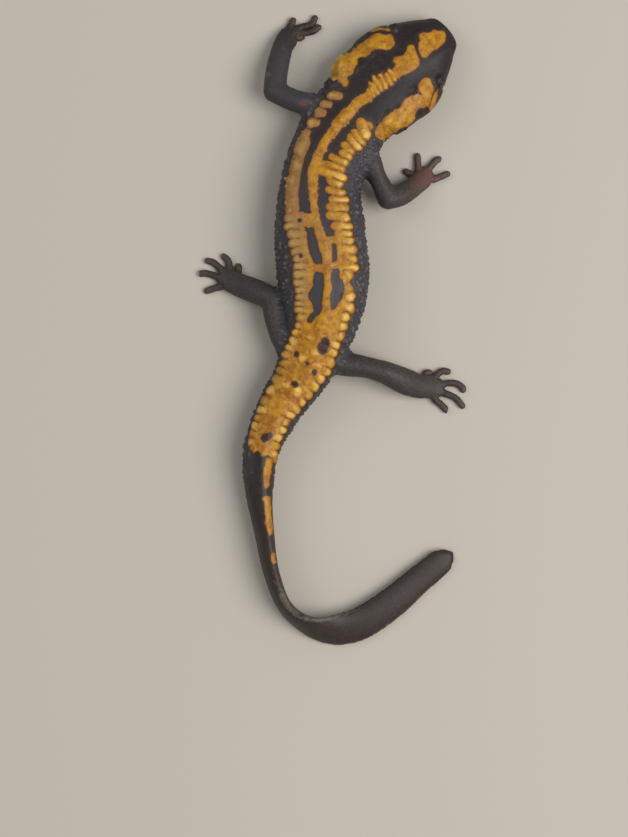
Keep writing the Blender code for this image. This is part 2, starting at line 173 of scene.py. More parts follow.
def body_point(run, out, level):
    """Points beside the spine: out is positive on the newt's right side."""
    here, way = spine_at(np.asarray(run, float))
    plan = here + np.stack([-way[..., 1], way[..., 0]], -1) * np.asarray(out)[..., None]
    level = np.broadcast_to(level, plan.shape[:-1])
    return np.concatenate([plan, level[..., None]], -1)


def section_at(run):
    """Half width, back, widest level, underside, rounding and turn at a distance."""
    columns = np.array(SECTIONS).T
    found = [steady(run, columns[0], column) for column in columns[1:]]
    places, turns = np.array(TAIL_ROLL, float).T
    return found + [np.radians(steady(run, places, turns))]


def closing(run, tail_rounding):
    """1 along the body, falling to 0 at its ends: as a quarter circle at the round
    snout, and as (1 - t^1.5)^0.8 at the tail's blunt tip."""
    snout = np.clip(1 - run / SNOUT_ROUNDING, 0, 1)
    tail = np.clip(1 - (BODY_LENGTH - run) / tail_rounding, 0, 1)
    return (1 - snout**2) ** 0.5 * (1 - tail**1.5) ** 0.8


def section_rings(run, angle):
    """Rings of the body.  In a section the side goes as cos(angle) and the height as
    sin(angle), each raised to its rounding; the section is then turned by the tail's
    roll, and from the vent on it is let down until the floor flattens it a little.
    Gives the rings, how far each was let down, and its outline in its own plane."""
    half, back, waist, under, side, turn = (column[:, None] for column in section_at(run))
    c, s = np.cos(angle)[None, :], np.sin(angle)[None, :]
    tall = np.where(s > 0, back - waist, waist - under)
    tall = tall * closing(run, TAIL_ROUNDING)[:, None]
    u = half * closing(run, TAIL_THICKNESS)[:, None] * np.sign(c) * np.abs(c) ** side
    v = tall * np.sign(s) * np.abs(s) ** BACK_ROUNDING
    out = u * np.cos(turn) + v * np.sin(turn)
    level = waist + v * np.cos(turn) - u * np.sin(turn)
    settled = np.clip((run - TAIL_SETTLES[0]) / np.ptp(TAIL_SETTLES), 0, 1)
    drop = (level.min(axis=1) + FLAT_DEPTH) * settled
    level = level - drop[:, None]
    rings = body_point(run[:, None] + 0 * out, out, np.maximum(level, 0))
    return rings, drop, np.stack([out, level], -1)


BODY_SIDES, RING_STEP = 120, 0.45
SNOUT_RINGS = [0.03, 0.12, 0.3, 0.55]  # mm from the snout: closer, because it is round
TIP_RINGS = [3.6, 3.0, 2.4, 1.8, 1.2, 0.7, 0.35, 0.1]  # mm from the tail's tip
body_runs = np.r_[SNOUT_RINGS, np.arange(0.9, BODY_LENGTH - 4, RING_STEP),
                  BODY_LENGTH - np.array(TIP_RINGS)]
ring_angles = np.arange(BODY_SIDES) * 2 * np.pi / BODY_SIDES
body_grid, _, _ = section_rings(body_runs, ring_angles)
print("body rings:", body_grid.shape[:2])

# %% [markdown]
# ## The limbs
#
# Each limb is a tapered tube for the upper part, one for the lower part, a flattened
# palm, and a thin tube for each digit: four on a hand and five on a foot.  A tube is
# an ellipse carried along a curve with round ends.  Bones could be modelled and skinned,
# but nothing shows of them in a newt, whose limbs are smooth and soft.

# %% Stations of the limbs: x, y, height, half width and half height
LIMB_PARTS = {"upper": slice(0, 4), "lower": slice(3, 6), "palm": slice(5, 8)}
LIMBS = {
    "right arm": {
        "chain": [(4.0, 44.8, 7.0, 3.6, 3.6), (8.9, 43.2, 6.9, 3.2, 3.2),
                  (11.5, 38.3, 6.6, 2.35, 2.6), (14.2, 33.0, 6.0, 2.75, 2.7),
                  (17.6, 34.1, 4.5, 2.75, 2.4), (21.2, 36.6, 2.3, 2.5, 1.8),
                  (22.9, 38.3, 1.5, 2.7, 1.35), (23.7, 39.4, 1.2, 2.4, 1.05)],
        "digits": [[(21.4, 38.9), (18.9, 40.3)], [(22.1, 39.6), (21.8, 44.2)],
                   [(24.0, 40.3), (26.4, 43.0), (27.2, 43.4)],
                   [(24.9, 37.9), (27.2, 38.8), (29.3, 39.7)]],
    },
    "left arm": {
        "chain": [(1.0, 54.5, 7.2, 3.4, 3.6), (-5.2, 56.2, 7.1, 2.95, 3.2),
                  (-9.8, 57.6, 6.7, 2.75, 2.9), (-14.1, 59.8, 6.1, 2.85, 2.9),
                  (-13.4, 65.8, 4.6, 2.8, 2.6), (-12.1, 71.5, 2.5, 2.6, 1.9),
                  (-10.7, 73.9, 1.5, 2.75, 1.35), (-9.8, 75.0, 1.2, 2.4, 1.05)],
        "digits": [[(-9.4, 74.0), (-7.3, 73.9)],
                   [(-8.8, 74.9), (-4.9, 75.5), (-3.1, 76.6)],
                   [(-9.3, 76.2), (-5.1, 77.3), (-4.0, 78.9)],
                   [(-10.6, 76.0), (-9.5, 78.4)]],
    },
    "right leg": {
        "chain": [(-2.5, -6.7, 6.4, 3.5, 3.8), (3.4, -8.2, 6.7, 3.2, 3.3),
                  (8.6, -9.1, 6.8, 2.7, 2.9), (13.5, -10.4, 6.4, 2.85, 2.9),
                  (18.2, -12.5, 4.5, 3.3, 2.6), (22.2, -13.9, 2.5, 3.1, 2.0),
                  (25.0, -14.0, 1.6, 2.9, 1.45), (26.5, -14.1, 1.2, 2.6, 1.05)],
        "digits": [[(23.6, -12.2), (23.9, -10.6), (24.8, -10.3)],
                   [(25.4, -12.1), (27.8, -10.1), (29.5, -10.1)],
                   [(26.8, -13.2), (31.1, -13.0), (33.0, -14.0), (33.3, -14.8)],
                   [(27.0, -15.0), (31.1, -16.6), (33.1, -18.7)],
                   [(25.6, -16.7), (27.6, -18.3), (29.1, -19.8)]],
    },
    "left leg": {
        "chain": [(-5.5, -6.0, 6.4, 3.5, 3.8), (-11.0, -3.8, 6.6, 2.9, 3.2),
                  (-13.8, 2.2, 6.6, 2.6, 2.8), (-14.6, 8.0, 6.2, 2.8, 2.8),
                  (-18.8, 9.9, 4.4, 3.1, 2.6), (-22.8, 11.5, 2.5, 3.0, 2.0),
                  (-25.3, 12.8, 1.6, 2.9, 1.45), (-26.7, 13.7, 1.2, 2.6, 1.05)],
        "digits": [[(-23.3, 14.3), (-23.2, 16.4)],
                   [(-25.2, 14.6), (-25.8, 17.6), (-26.9, 18.9)],
                   [(-26.4, 14.3), (-29.2, 17.1), (-31.0, 17.8)],
                   [(-27.1, 13.2), (-31.1, 14.6), (-33.0, 14.5)],
                   [(-26.0, 11.7), (-29.2, 10.9), (-31.2, 10.2)]],
    },
}
DIGITS = [digit for limb in LIMBS.values() for digit in limb["digits"]]
print("limbs:", len(LIMBS), "digits:", len(DIGITS))

# %% Sizes of a digit
# Shares of a digit's length, and what its half width, half height and level are there.
DIGIT_PLACES = (0.0, 0.3, 0.55, 0.85, 1.0)
DIGIT_WIDTHS = (1.15, 0.92, 0.86, 0.86, 0.80)
DIGIT_HEIGHTS = (1.00, 0.86, 0.78, 0.72, 0.66)
DIGIT_LEVELS = (1.00, 0.82, 0.68, 0.60, 0.56)
DIGIT_CORE = 0.62  # share of its thickness that a digit has while the net is laid
ROUND_END = np.radians(82)  # how far the last ring of a round end is turned

# %% Tubes


def tube_rings(stations, sides, steps, cap=6):
    """Rings of a tapered tube: at each place of the curve an ellipse square to it,
    with its side level.  The round ends go on along the curve as a quarter circle:
    the step is sin(turn) of the radius and the ring shrinks by cos(turn)."""
    line = line_through(stations, steps)
    line[:, :2] -= CENTRE
    way = np.gradient(line[:, :3], axis=0)
    way /= np.linalg.norm(way, axis=1, keepdims=True)
    turns = np.linspace(ROUND_END, np.pi / 2 / cap, cap)
    place = np.r_[np.zeros(cap, int), np.arange(len(line)), np.full(cap, len(line) - 1)]
    turn = np.r_[turns, np.zeros(len(line)), turns[::-1]]
    onward = np.r_[-np.sin(turns), np.zeros(len(line)), np.sin(turns[::-1])]
    side = np.cross((0, 0, 1), way)
    side /= np.linalg.norm(side, axis=1, keepdims=True)
    up = np.cross(way, side)
    wide, high = line[place, 3], line[place, 4]
    centre = line[place, :3] + way[place] * (onward * wide)[:, None]
    angle = np.arange(sides) * 2 * np.pi / sides
    sideways = np.cos(angle)[None] * (wide * np.cos(turn))[:, None]
    upwards = np.sin(angle)[None] * (high * np.cos(turn))[:, None]
    around = side[place, None] * sideways[..., None] + up[place, None] * upwards[..., None]
    rings = centre[:, None] + around
    rings[..., 2] = np.maximum(rings[..., 2], 0)
    return rings


def digit_stations(run, steps=6):
    """Stations of one digit: it lowers and thins to its tip, which is round."""
    line = line_through(run, steps)
    reach = np.r_[0, np.cumsum(np.linalg.norm(np.diff(line, axis=0), axis=1))]
    along = reach / reach[-1]
    columns = [np.interp(along, DIGIT_PLACES, sizes)
               for sizes in (DIGIT_LEVELS, DIGIT_WIDTHS, DIGIT_HEIGHTS)]
    return np.column_stack([line, *columns])


LIMB_SIDES, DIGIT_SIDES = 40, 24
LIMB_STEPS, DIGIT_STEPS = 16, 2
limb_grids = []
for limb in LIMBS.values():
    for part in LIMB_PARTS.values():
        limb_grids.append(tube_rings(limb["chain"][part], LIMB_SIDES, LIMB_STEPS))
    for digit in limb["digits"]:
        core = digit_stations(digit) * (1, 1, 1, DIGIT_CORE, DIGIT_CORE)
        limb_grids.append(tube_rings(core, DIGIT_SIDES, DIGIT_STEPS))
print("limb tubes:", len(limb_grids))

# %% [markdown]
# ## One skin over everything
#
# On the animal the skin runs without a seam from the trunk onto the limbs.  Boolean
# unions would leave a hard line at each shoulder and hip.  A voxel remesh wraps all
# the overlapping shapes in one even net instead, and smoothing then rounds its steps
# and draws a soft web of skin where two shapes meet.  Digits that lie close together
# would be wrapped as one, so they go in thin and get their thickness afterwards.

# %% The net of skin
NET_SIZE = 0.60  # mm between neighbouring points


def closed_faces(rows, columns, first=0):
    """Quads between neighbouring rings, and one flat face at each end; the rings'
    points are counted from the first."""
    row, column = np.meshgrid(np.arange(rows - 1), np.arange(columns), indexing="ij")
    after = (column + 1) % columns
    quads = np.stack([row * columns + column, row * columns + after,
                      (row + 1) * columns + after, (row + 1) * columns + column], -1)
    ends = [tuple(first + np.arange(columns)[::-1]),
            tuple(first + (rows - 1) * columns + np.arange(columns))]
    return [tuple(quad) for quad in (quads.reshape(-1, 4) + first).tolist()] + ends


def mesh_of(name, points, faces):
    """A mesh of this name from points and faces."""
    mesh = bpy.data.meshes.new(name)
    mesh.from_pydata(points, [], faces)
    mesh.update()
    return mesh


def shown(name, data):
    """A new object in the scene with this mesh, lamp or camera."""
    made = bpy.data.objects.new(name, data)
    bpy.context.scene.collection.objects.link(made)
    return made


def applied(made):
    """The object with its modifiers worked into a new mesh."""
    graph = bpy.context.evaluated_depsgraph_get()
    mesh = bpy.data.meshes.new_from_object(made.evaluated_get(graph))
    made.modifiers.clear()
    made.data = mesh
    return made


points, faces = [], []
for grid in [body_grid, *limb_grids]:
    faces += closed_faces(grid.shape[0], grid.shape[1], sum(len(p) for p in points))
    points.append(grid.reshape(-1, 3))
skin = shown("skin", mesh_of("skin", np.vstack(points), faces))
wrap = skin.modifiers.new("wrap", "REMESH")
wrap.mode = "VOXEL"
wrap.voxel_size = NET_SIZE
applied(skin)
print("net:", len(skin.data.vertices), "points", len(skin.data.polygons), "faces")

# %% Reading and writing a mesh's points


def numbers_of(items, key, columns, kind=np.float32):
    """One property of a mesh's points, edges or faces, as rows of this many numbers."""
    found = np.empty(len(items) * columns, kind)
    items.foreach_get(key, found)
    return found.reshape(-1, columns)


def points_of(mesh):
    """The places of a mesh's points."""
    return numbers_of(mesh.vertices, "co", 3).astype(float)


def normals_of(mesh):
    """The way out of the surface at each point."""
    return numbers_of(mesh.vertex_normals, "vector", 3).astype(float)


def edges_of(mesh):
    """The two points of each edge."""
    return numbers_of(mesh.edges, "vertices", 2, np.int32)


def set_points(mesh, points):
    """Moves a mesh's points to these places."""
    mesh.vertices.foreach_set("co", np.asarray(points, np.float32).ravel())
    mesh.update()


def laid(mesh, points):
    """Moves a mesh's points to these places, but none of them below the floor."""
    points[:, 2] = np.maximum(points[:, 2], 0)
    set_points(mesh, points)
    return points


def shaded_smooth(mesh):
    """Lets light run over the edges of a mesh's faces."""
    mesh.polygons.foreach_set("use_smooth", np.ones(len(mesh.polygons), bool))


def neighbours_mean(values, edges, count):
    """For each point the mean of the points that an edge joins to it."""
    a, b = edges.T
    shares = np.bincount(a, minlength=count) + np.bincount(b, minlength=count)
    sums = np.stack([np.bincount(a, column[b], count) + np.bincount(b, column[a], count)
                     for column in values.T], -1)
    return sums / shares[:, None]


def smoothed(points, edges, rounds, amount=0.5, back=0.52):
    """Taubin smoothing: each round moves points by this share of the way towards
    their neighbours' mean and then slightly more the other way, so that steps go
    and the volume stays.  Where back is 0 the points draw together instead."""
    amount = np.broadcast_to(amount, len(points))[:, None]
    for _ in range(rounds):
        points = points + amount * (neighbours_mean(points, edges, len(points)) - points)
        if back:
            to_mean = neighbours_mean(points, edges, len(points)) - points
            points = points - amount * back / 0.5 * to_mean
    return points


# %% [markdown]
# ## Where each point of the skin lies on the animal
#
# Warts, folds and markings follow the body, not the room.  So every point is given
# the animal's own measures: how far it is from the snout, how far out from the spine,
# and the angle round the section.  A point on a limb lies well outside the section,
# which tells limbs from the trunk without naming a single point.

# %% The animal's own measures
TABLE_STEP, ANGLE_STEP = 0.25, 3.0  # mm along the spine, and degrees round a section
AT_ONCE = 8000  # points measured together, which keeps the memory small
END_GAP = 0.02  # mm from snout and tip, where sections shrink to nothing
table_runs = np.arange(0, BODY_LENGTH + TABLE_STEP, TABLE_STEP)
table_angles = np.radians(np.arange(-90, 91, ANGLE_STEP))
_, table_drop, right_side = section_rings(np.minimum(table_runs, BODY_LENGTH), table_angles)
table_arc = np.zeros(right_side.shape[:2])
table_arc[:, 1:] = np.cumsum(np.linalg.norm(np.diff(right_side, axis=1), axis=2), axis=1)
table_arc = table_arc[:, -1:] - table_arc  # 0 on the back's middle line


def measures(points):
    """The animal's measures of points: run from the snout, out from the spine, across
    as a share of the half width, the angle round the section, the value of its
    equation (1 on the body, more outside it), the arc from the back's middle, and the
    ways to the section's upper and lower edge."""
    run, out = np.empty(len(points)), np.empty(len(points))
    tangent = np.gradient(spine_line, axis=0)
    tangent /= np.linalg.norm(tangent, axis=1, keepdims=True)
    for part in np.array_split(np.arange(len(points)), 1 + len(points) // AT_ONCE):
        away = points[part, None, :2] - spine_line[None]
        nearest = (away**2).sum(-1).argmin(1)
        gap = points[part, :2] - spine_line[nearest]
        way = tangent[nearest]
        run[part] = spine_run[nearest] + (gap * way).sum(1)
        out[part] = gap[:, 1] * way[:, 0] - gap[:, 0] * way[:, 1]
    run = np.clip(run, END_GAP, BODY_LENGTH - END_GAP)
    half, back, waist, under, side, turn = section_at(run)
    level = points[:, 2] - waist + np.interp(run, table_runs, table_drop)
    u = out * np.cos(turn) - level * np.sin(turn)
    v = out * np.sin(turn) + level * np.cos(turn)
    tall = np.where(v > 0, back - waist, waist - under)
    across = np.sign(u) * np.abs(u / half) ** (1 / side)
    upward = np.sign(v) * np.abs(v / tall) ** (1 / BACK_ROUNDING)
    angle = np.arctan2(upward, np.abs(across))
    i = np.clip((run / TABLE_STEP).astype(int), 0, len(table_runs) - 1)
    j = np.clip((angle + np.pi / 2) / np.radians(ANGLE_STEP), 0, len(table_angles) - 1.001)
    k = j.astype(int)
    arc = table_arc[i, k] * (1 - j + k) + table_arc[i, k + 1] * (j - k)
    return {
        "run": run, "out": out, "across": u / half, "angle": angle,
        "outside": np.hypot(across, upward), "arc": arc * np.sign(u),
        "crest": back - waist - v, "keel": v + waist - under,
    }


print("table of arcs:", table_arc.shape)

# %% Rounding the net and softening shoulders and hips
STEP_ROUNDS, WEB_ROUNDS = 5, 16
WEB_REACH = 1.6  # mm from a limb that its web of skin reaches
mesh = skin.data
edges = edges_of(mesh)
place = smoothed(points_of(mesh), edges, STEP_ROUNDS)
known = measures(place)
near_limb = np.full(len(place), np.inf)
for limb in LIMBS.values():
    stations = line_through(limb["chain"][:3], 8)
    stations[:, :2] -= CENTRE
    gap = np.linalg.norm(place[:, None] - stations[None, :, :3], axis=2)
    near_limb = np.minimum(near_limb, (gap - stations[None, :, 3]).min(1))
web = hump(known["outside"] - 1, 0.30) * hump(np.maximum(near_limb, 0), WEB_REACH)
web *= stretch(known["run"], 32, 36, 100, 106)
place = laid(mesh, smoothed(place, edges, WEB_ROUNDS, amount=0.5 * web, back=0))
print("softened points:", int((web > 0.3).sum()))

# %% [markdown]
# ## A finer net where the forms are small
#
# An even net is fine enough for the belly and the limbs, but not for glands and
# digits, and not at all for eyelids, nostrils and the line of the mouth, which are a
# few tenths of a millimetre wide.  A finer net everywhere would cost ten times the
# faces.  Only the faces around those places are divided instead, up to three times.

# %% Places on the head
# Distance from the snout, out from the spine, and height.
EYE_BACK, EYE_OUT, EYE_LEVEL, EYE_RADIUS = 10.8, 8.4, 7.0, 1.65
NOSTRIL_BACK, NOSTRIL_OUT, NOSTRIL_LEVEL = 1.5, 2.7, 4.9
# The mouth's height at the snout, its climb for each mm, its length, and the dip of
# its corners.
MOUTH_LEVEL, MOUTH_RISE, MOUTH_LENGTH, MOUTH_DIP = 3.6, 0.02, 18.5, 0.9
eye_centres = {side: body_point(EYE_BACK, sign * EYE_OUT, EYE_LEVEL)
               for side, sign in (("right", 1), ("left", -1))}
nostrils = [body_point(NOSTRIL_BACK, sign * NOSTRIL_OUT, NOSTRIL_LEVEL) for sign in (1, -1)]


def to_nearest(points, centres):
    """How far each point is from the nearest of a few centres."""
    return np.min([np.linalg.norm(points - centre, axis=1) for centre in centres], axis=0)


def mouth_gap(points, known):
    """Height above the mouth's line, which climbs a little to the back and dips at
    its corner."""
    dip = MOUTH_DIP * between(MOUTH_LENGTH - 4, MOUTH_LENGTH, known["run"])
    return points[:, 2] - (MOUTH_LEVEL + MOUTH_RISE * known["run"] - dip)


DIGIT_MARGIN = 2.5  # mm round a digit's line within which points may move
# Shares of a digit over which it leaves the palm, and how far off its ellipse a point
# may be, as a share of it, before it moves less, and before it stays.
DIGIT_ROOT, DIGIT_LIMIT = (0.06, 0.30), (1.25, 1.7)


def near_digits(points, reach, last=0):
    """Which points lie near a digit's line, or near its last few stations."""
    found = np.zeros(len(points), bool)
    for digit in DIGITS:
        line = (line_through(digit, 6) - CENTRE)[-last:]
        away = points[:, None, :2] - line[None]
        found |= ((away**2).sum(-1) < reach**2).any(1)
    return found


def with_digits(points):
    """The points near each digit, moved out from the nearest station of its line to
    the ellipse it has there; towards the palm they keep their places."""
    for digit in DIGITS:
        stations = digit_stations(digit, 14)
        stations[:, :2] -= CENTRE
        low, high = stations[:, :3].min(0) - DIGIT_MARGIN, stations[:, :3].max(0) + DIGIT_MARGIN
        some = np.flatnonzero(((points > low) & (points < high)).all(1))
        away = points[some, None] - stations[None, :, :3]
        nearest = (away**2).sum(-1).argmin(1)
        away = away[np.arange(len(some)), nearest]
        wide, tall = stations[nearest, 3], stations[nearest, 4]
        ratio = np.hypot(np.hypot(away[:, 0], away[:, 1]) / wide, away[:, 2] / tall)
        share = between(*DIGIT_ROOT, nearest / (len(stations) - 1))
        share *= 1 - between(*DIGIT_LIMIT, ratio)
        target = stations[nearest, :3] + away / np.maximum(ratio, 0.05)[:, None]
        points[some] += (target - points[some]) * share[:, None]
    return points


def divide_near(made, wanted):
    """Divides the faces that have a wanted point into four."""
    mesh = made.data
    corners = numbers_of(mesh.loops, "vertex_index", 1, np.int32)[:, 0]
    starts = numbers_of(mesh.polygons, "loop_start", 1, np.int32)[:, 0]
    chosen = np.logical_or.reduceat(wanted[corners], starts)
    bpy.context.view_layer.objects.active = made
    made.select_set(True)
    bpy.ops.object.mode_set(mode="EDIT")
    bpy.ops.mesh.select_mode(type="FACE")
    bpy.ops.mesh.select_all(action="DESELECT")
    bpy.ops.object.mode_set(mode="OBJECT")
    mesh.polygons.foreach_set("select", chosen)
    bpy.ops.object.mode_set(mode="EDIT")
    bpy.ops.mesh.subdivide(number_cuts=1)
    bpy.ops.object.mode_set(mode="OBJECT")
    return int(chosen.sum())


print("eyes at:", {side: centre.round(1).tolist() for side, centre in eye_centres.items()})

# %% Dividing
# How near a face has to be, and how much nearer each further time, in millimetres.
NEAR_EYE, NEAR_NOSTRIL, NEAR_MOUTH = (3.8, 0.6), (1.6, 0.4), (1.1, 0.35)
WARTY = (16.5, 122.5)  # stretch of the back that bears glands and warts
TIP_ROUNDS, TIP_STRETCH = 20, 8  # rounds of smoothing for the tail's last millimetres

place = with_digits(points_of(mesh))
set_points(mesh, place)
nostrils = [place[np.linalg.norm(place - c, axis=1).argmin()] for c in nostrils]
for times in (1, 2, 3):
    place = points_of(mesh)
    known = measures(place)
    wanted = to_nearest(place, eye_centres.values()) < NEAR_EYE[0] - NEAR_EYE[1] * times
    if times < 3:
        wanted |= to_nearest(place, nostrils) < NEAR_NOSTRIL[0] - NEAR_NOSTRIL[1] * times
        in_line = np.abs(mouth_gap(place, known)) < NEAR_MOUTH[0] - NEAR_MOUTH[1] * times
        wanted |= in_line & (known["run"] < MOUTH_LENGTH + 1)
    if times == 2:
        wanted |= near_digits(place, 1.3, last=2)
    if times < 2:
        warty = (known["run"] > WARTY[0]) & (known["run"] < WARTY[1])
        wanted |= warty & (known["outside"] < 1.3) & (known["angle"] > -0.12)
        wanted |= near_digits(place, 1.6) | (known["run"] > BODY_LENGTH - 7)
    print("divided faces:", divide_near(skin, wanted))
edges = edges_of(mesh)
place = smoothed(points_of(mesh), edges, 2)
place = with_digits(smoothed(with_digits(place), edges, 2))
tip = between(BODY_LENGTH - TIP_STRETCH, BODY_LENGTH - TIP_STRETCH + 3, measures(place)["run"])
place = laid(mesh, smoothed(place, edges, TIP_ROUNDS, amount=0.5 * tip))
known = measures(place)

# %% [markdown]
# ## Warts, ridges and folds
#
# The skin of this newt is rough all over.  A low ridge runs along the back, a row of
# large glands stands on each side of it like knuckles, and the flanks are covered in
# small warts.  These are real relief, so they are made by moving the points along
# their normals; only the finest grain is left to the material.

# %% Helpers for relief


def chance(i, j, seed):
    """A number from 0 to 1 for each pair of whole numbers: the fraction of a large
    multiple of the sine of a sum that differs for each pair."""
    return np.modf(np.abs(np.sin(i * 127.1 + j * 311.7 + seed * 74.7) * 43758.5453))[0]


def knobs(x, y, cell, small, large, share, seed):
    """Round warts scattered on a plane: each square cell may hold one, set off its
    middle and of its own radius, and its height falls as (1 - d^2)^1.5 to its rim."""
    best = np.zeros(len(x))
    column, row = np.floor(x / cell), np.floor(y / cell)
    for i in (-1, 0, 1):
        for j in (-1, 0, 1):
            a, b = column + i, row + j
            centre_x = (a + 0.15 + 0.7 * chance(a, b, seed)) * cell
            centre_y = (b + 0.15 + 0.7 * chance(a, b, seed + 1)) * cell
            radius = small + (large - small) * chance(a, b, seed + 2) ** 2
            there = chance(a, b, seed + 3) < share
            d = np.hypot(x - centre_x, y - centre_y) / radius
            best = np.maximum(best, there * radius * np.clip(1 - d**2, 0, 1) ** 1.5)
    return best


def ripple(x, y, cell, seed):
    """Soft noise from -1 to 1: chance at the corners of square cells, and a smooth
    step from each corner to the next."""
    a, b = np.floor(x / cell), np.floor(y / cell)
    t, u = between(0, 1, x / cell - a), between(0, 1, y / cell - b)
    low = chance(a, b, seed) * (1 - t) + chance(a + 1, b, seed) * t
    high = chance(a, b + 1, seed) * (1 - t) + chance(a + 1, b + 1, seed) * t
    return 2 * (low * (1 - u) + high * u) - 1


def along_body(run, stations):
    """What a list of distances from the snout and values gives at each point."""
    return steady(run, *np.array(stations).T)


FAR = -6.0  # mm inside a stroke for a point that is nowhere near one


def nearest_stroke(strokes, run, out):
    """How far inside the nearest stroke each point lies, how far inside the next
    nearest, how far along the nearest, from 0 to 1, and which one it is.  Between two
    stations the half width runs evenly, and the distance is to the nearest point."""
    inside, second = np.full(len(run), FAR), np.full(len(run), FAR)
    share, which = np.zeros(len(run)), np.zeros(len(run))
    for number, stroke in enumerate(strokes):
        stations = np.array(stroke, float)
        if len(stations) == 1:
            stations = np.vstack([stations, stations + (0.01, 0, 0)])
        own, own_share = np.full(len(run), FAR), np.zeros(len(run))
        for (run_a, out_a, half_a), (run_b, out_b, half_b) in zip(stations[:-1], stations[1:]):
            long, wide = run_b - run_a, out_b - out_a
            t = ((run - run_a) * long + (out - out_a) * wide) / (long**2 + wide**2)
            t = np.clip(t, 0, 1)
            gap = np.hypot(run - run_a - t * long, out - out_a - t * wide)
            here = half_a + (half_b - half_a) * t - gap
            own_share = np.where(here > own, t, own_share)
            own = np.maximum(own, here)
        second = np.maximum(second, np.minimum(inside, own))
        share = np.where(own > inside, own_share, share)
        which = np.where(own > inside, number, which)
        inside = np.maximum(inside, own)
    return inside, second, share, which


# %% [markdown]
# ## The rows of glands
#
# Each gland is a bar of swollen skin that lies across its row: thick and round at its
# outer end and thin at its inner end.  Behind the head the bars of the right side
# stand apart, and further back they touch.  The bars serve twice, for the relief and
# for the yellow on it, so that swelling and colour always agree.

# %% Bars of the rows: distance from the snout, out from the spine, and half width
BARS_FREE = [
    [(33.2, 3.2, 1.27), (35.1, 5.9, 1.32)], [(32.3, 4.6, 0.67), (32.6, 5.5, 0.67)],
    [(36.2, 3.4, 0.97), (37.6, 6.0, 1.12)], [(38.3, 2.8, 1.02), (39.3, 5.6, 1.22)],
    [(40.6, 2.4, 0.97), (41.2, 4.8, 1.07)], [(42.6, 3.1, 1.12), (43.3, 4.7, 1.07)],
    [(44.9, 0.7, 0.92), (45.0, 4.3, 1.12)], [(47.2, -0.6, 0.77), (46.9, 4.2, 1.02)],
    [(49.0, -0.6, 1.07), (49.3, 4.5, 1.42)], [(50.6, 2.1, 0.97), (51.2, 4.2, 1.17)],
    [(53.1, 2.1, 1.02), (53.5, 5.3, 1.12)], [(55.4, 3.0, 1.02), (55.7, 6.4, 1.17)],
    [(57.8, 2.8, 1.12), (58.1, 6.3, 1.22)], [(60.0, 2.8, 1.22), (60.3, 6.4, 1.32)],
    [(62.6, 4.0, 1.07), (62.6, 6.8, 1.17)], [(64.4, 4.5, 1.02), (64.7, 7.0, 1.17)],
    [(66.2, 3.8, 1.07), (66.9, 7.3, 1.27)], [(68.3, 4.5, 1.07), (69.1, 7.8, 1.32)],
    [(31.3, -5.0, 0.80), (32.2, -7.1, 1.02)], [(34.1, -6.0, 0.82), (34.6, -7.0, 1.10)],
    [(36.5, -6.2, 0.85), (36.8, -7.1, 1.02)], [(38.9, -6.0, 0.92), (39.3, -7.4, 1.22)],
]
# Outer ends of the touching bars: distance from the snout, and out from the spine.
ENDS_RIGHT = [
    (71.1, 8.8), (73.0, 8.9), (74.9, 7.4), (79.8, 7.8), (82.0, 7.9), (84.0, 7.1), (86.2, 6.9),
    (88.3, 6.9), (90.4, 6.3), (92.4, 6.2), (94.5, 6.6), (96.6, 6.5), (98.8, 6.0), (100.8, 5.5),
    (102.9, 5.3), (105.2, 5.0), (107.6, 4.8), (110.0, 4.4), (112.3, 4.2), (114.4, 4.1),
    (116.6, 4.1), (119.0, 4.2), (121.4, 4.3),
]
ENDS_LEFT = [
    (41.9, -8.3), (44.1, -8.5), (46.1, -8.6), (48.2, -8.6), (50.1, -8.5), (52.1, -8.3),
    (54.3, -8.2), (56.3, -8.2), (58.4, -8.4), (60.4, -8.8), (62.3, -8.7), (64.2, -8.2),
    (66.2, -8.1), (68.2, -7.8), (70.2, -7.5), (72.2, -7.5), (74.2, -7.5), (76.2, -7.6),
    (78.2, -7.4), (80.2, -7.0), (82.1, -6.9), (84.0, -6.8), (86.0, -6.3), (88.1, -6.1),
    (90.3, -6.2), (92.6, -6.4), (94.9, -6.7), (97.1, -6.8), (99.5, -6.3), (101.9, -5.9),
    (104.5, -5.6), (107.3, -5.3), (109.9, -5.2), (112.3, -5.0), (114.4, -4.9), (116.3, -4.8),
    (118.2, -4.5), (120.0, -4.2),
]
# The length of the touching bars, and how high all bars swell, at distances from
# the snout.
LENGTHS_RIGHT = [(70, 4.8), (75, 3.6), (80, 3.4), (86, 3.8), (93, 4.2), (108, 4.0), (122, 2.8)]
LENGTHS_LEFT = [(40, 2.1), (44, 2.0), (56, 2.2), (61, 3.6), (66, 4.8), (78, 4.4), (88, 4.2),
                (93, 4.6), (108, 4.4), (122, 2.8)]
SWELLING_RIGHT = [(30, 0.66), (60, 0.56), (90, 0.50), (106, 0.50), (123, 0.28)]
SWELLING_LEFT = [(30, 0.50), (39, 0.45), (44, 0.22), (58, 0.25), (66, 0.38), (88, 0.46),
                 (106, 0.50), (122, 0.28)]
# Small bars across the middle band on the nape, written as BARS_FREE is.
NAPE_BARS = [
    [(25.2, -1.2, 0.5), (25.8, 0.7, 0.6)], [(24.2, -2.0, 0.45), (24.6, 1.0, 0.6)],
    [(22.5, -2.5, 0.55), (23.4, 1.0, 0.65)], [(21.0, -2.5, 0.6), (22.1, 1.3, 0.65)],
    [(20.0, -1.5, 0.5), (20.7, 2.0, 0.55)], [(18.8, -1.4, 0.6), (19.3, 1.4, 0.5)],
]


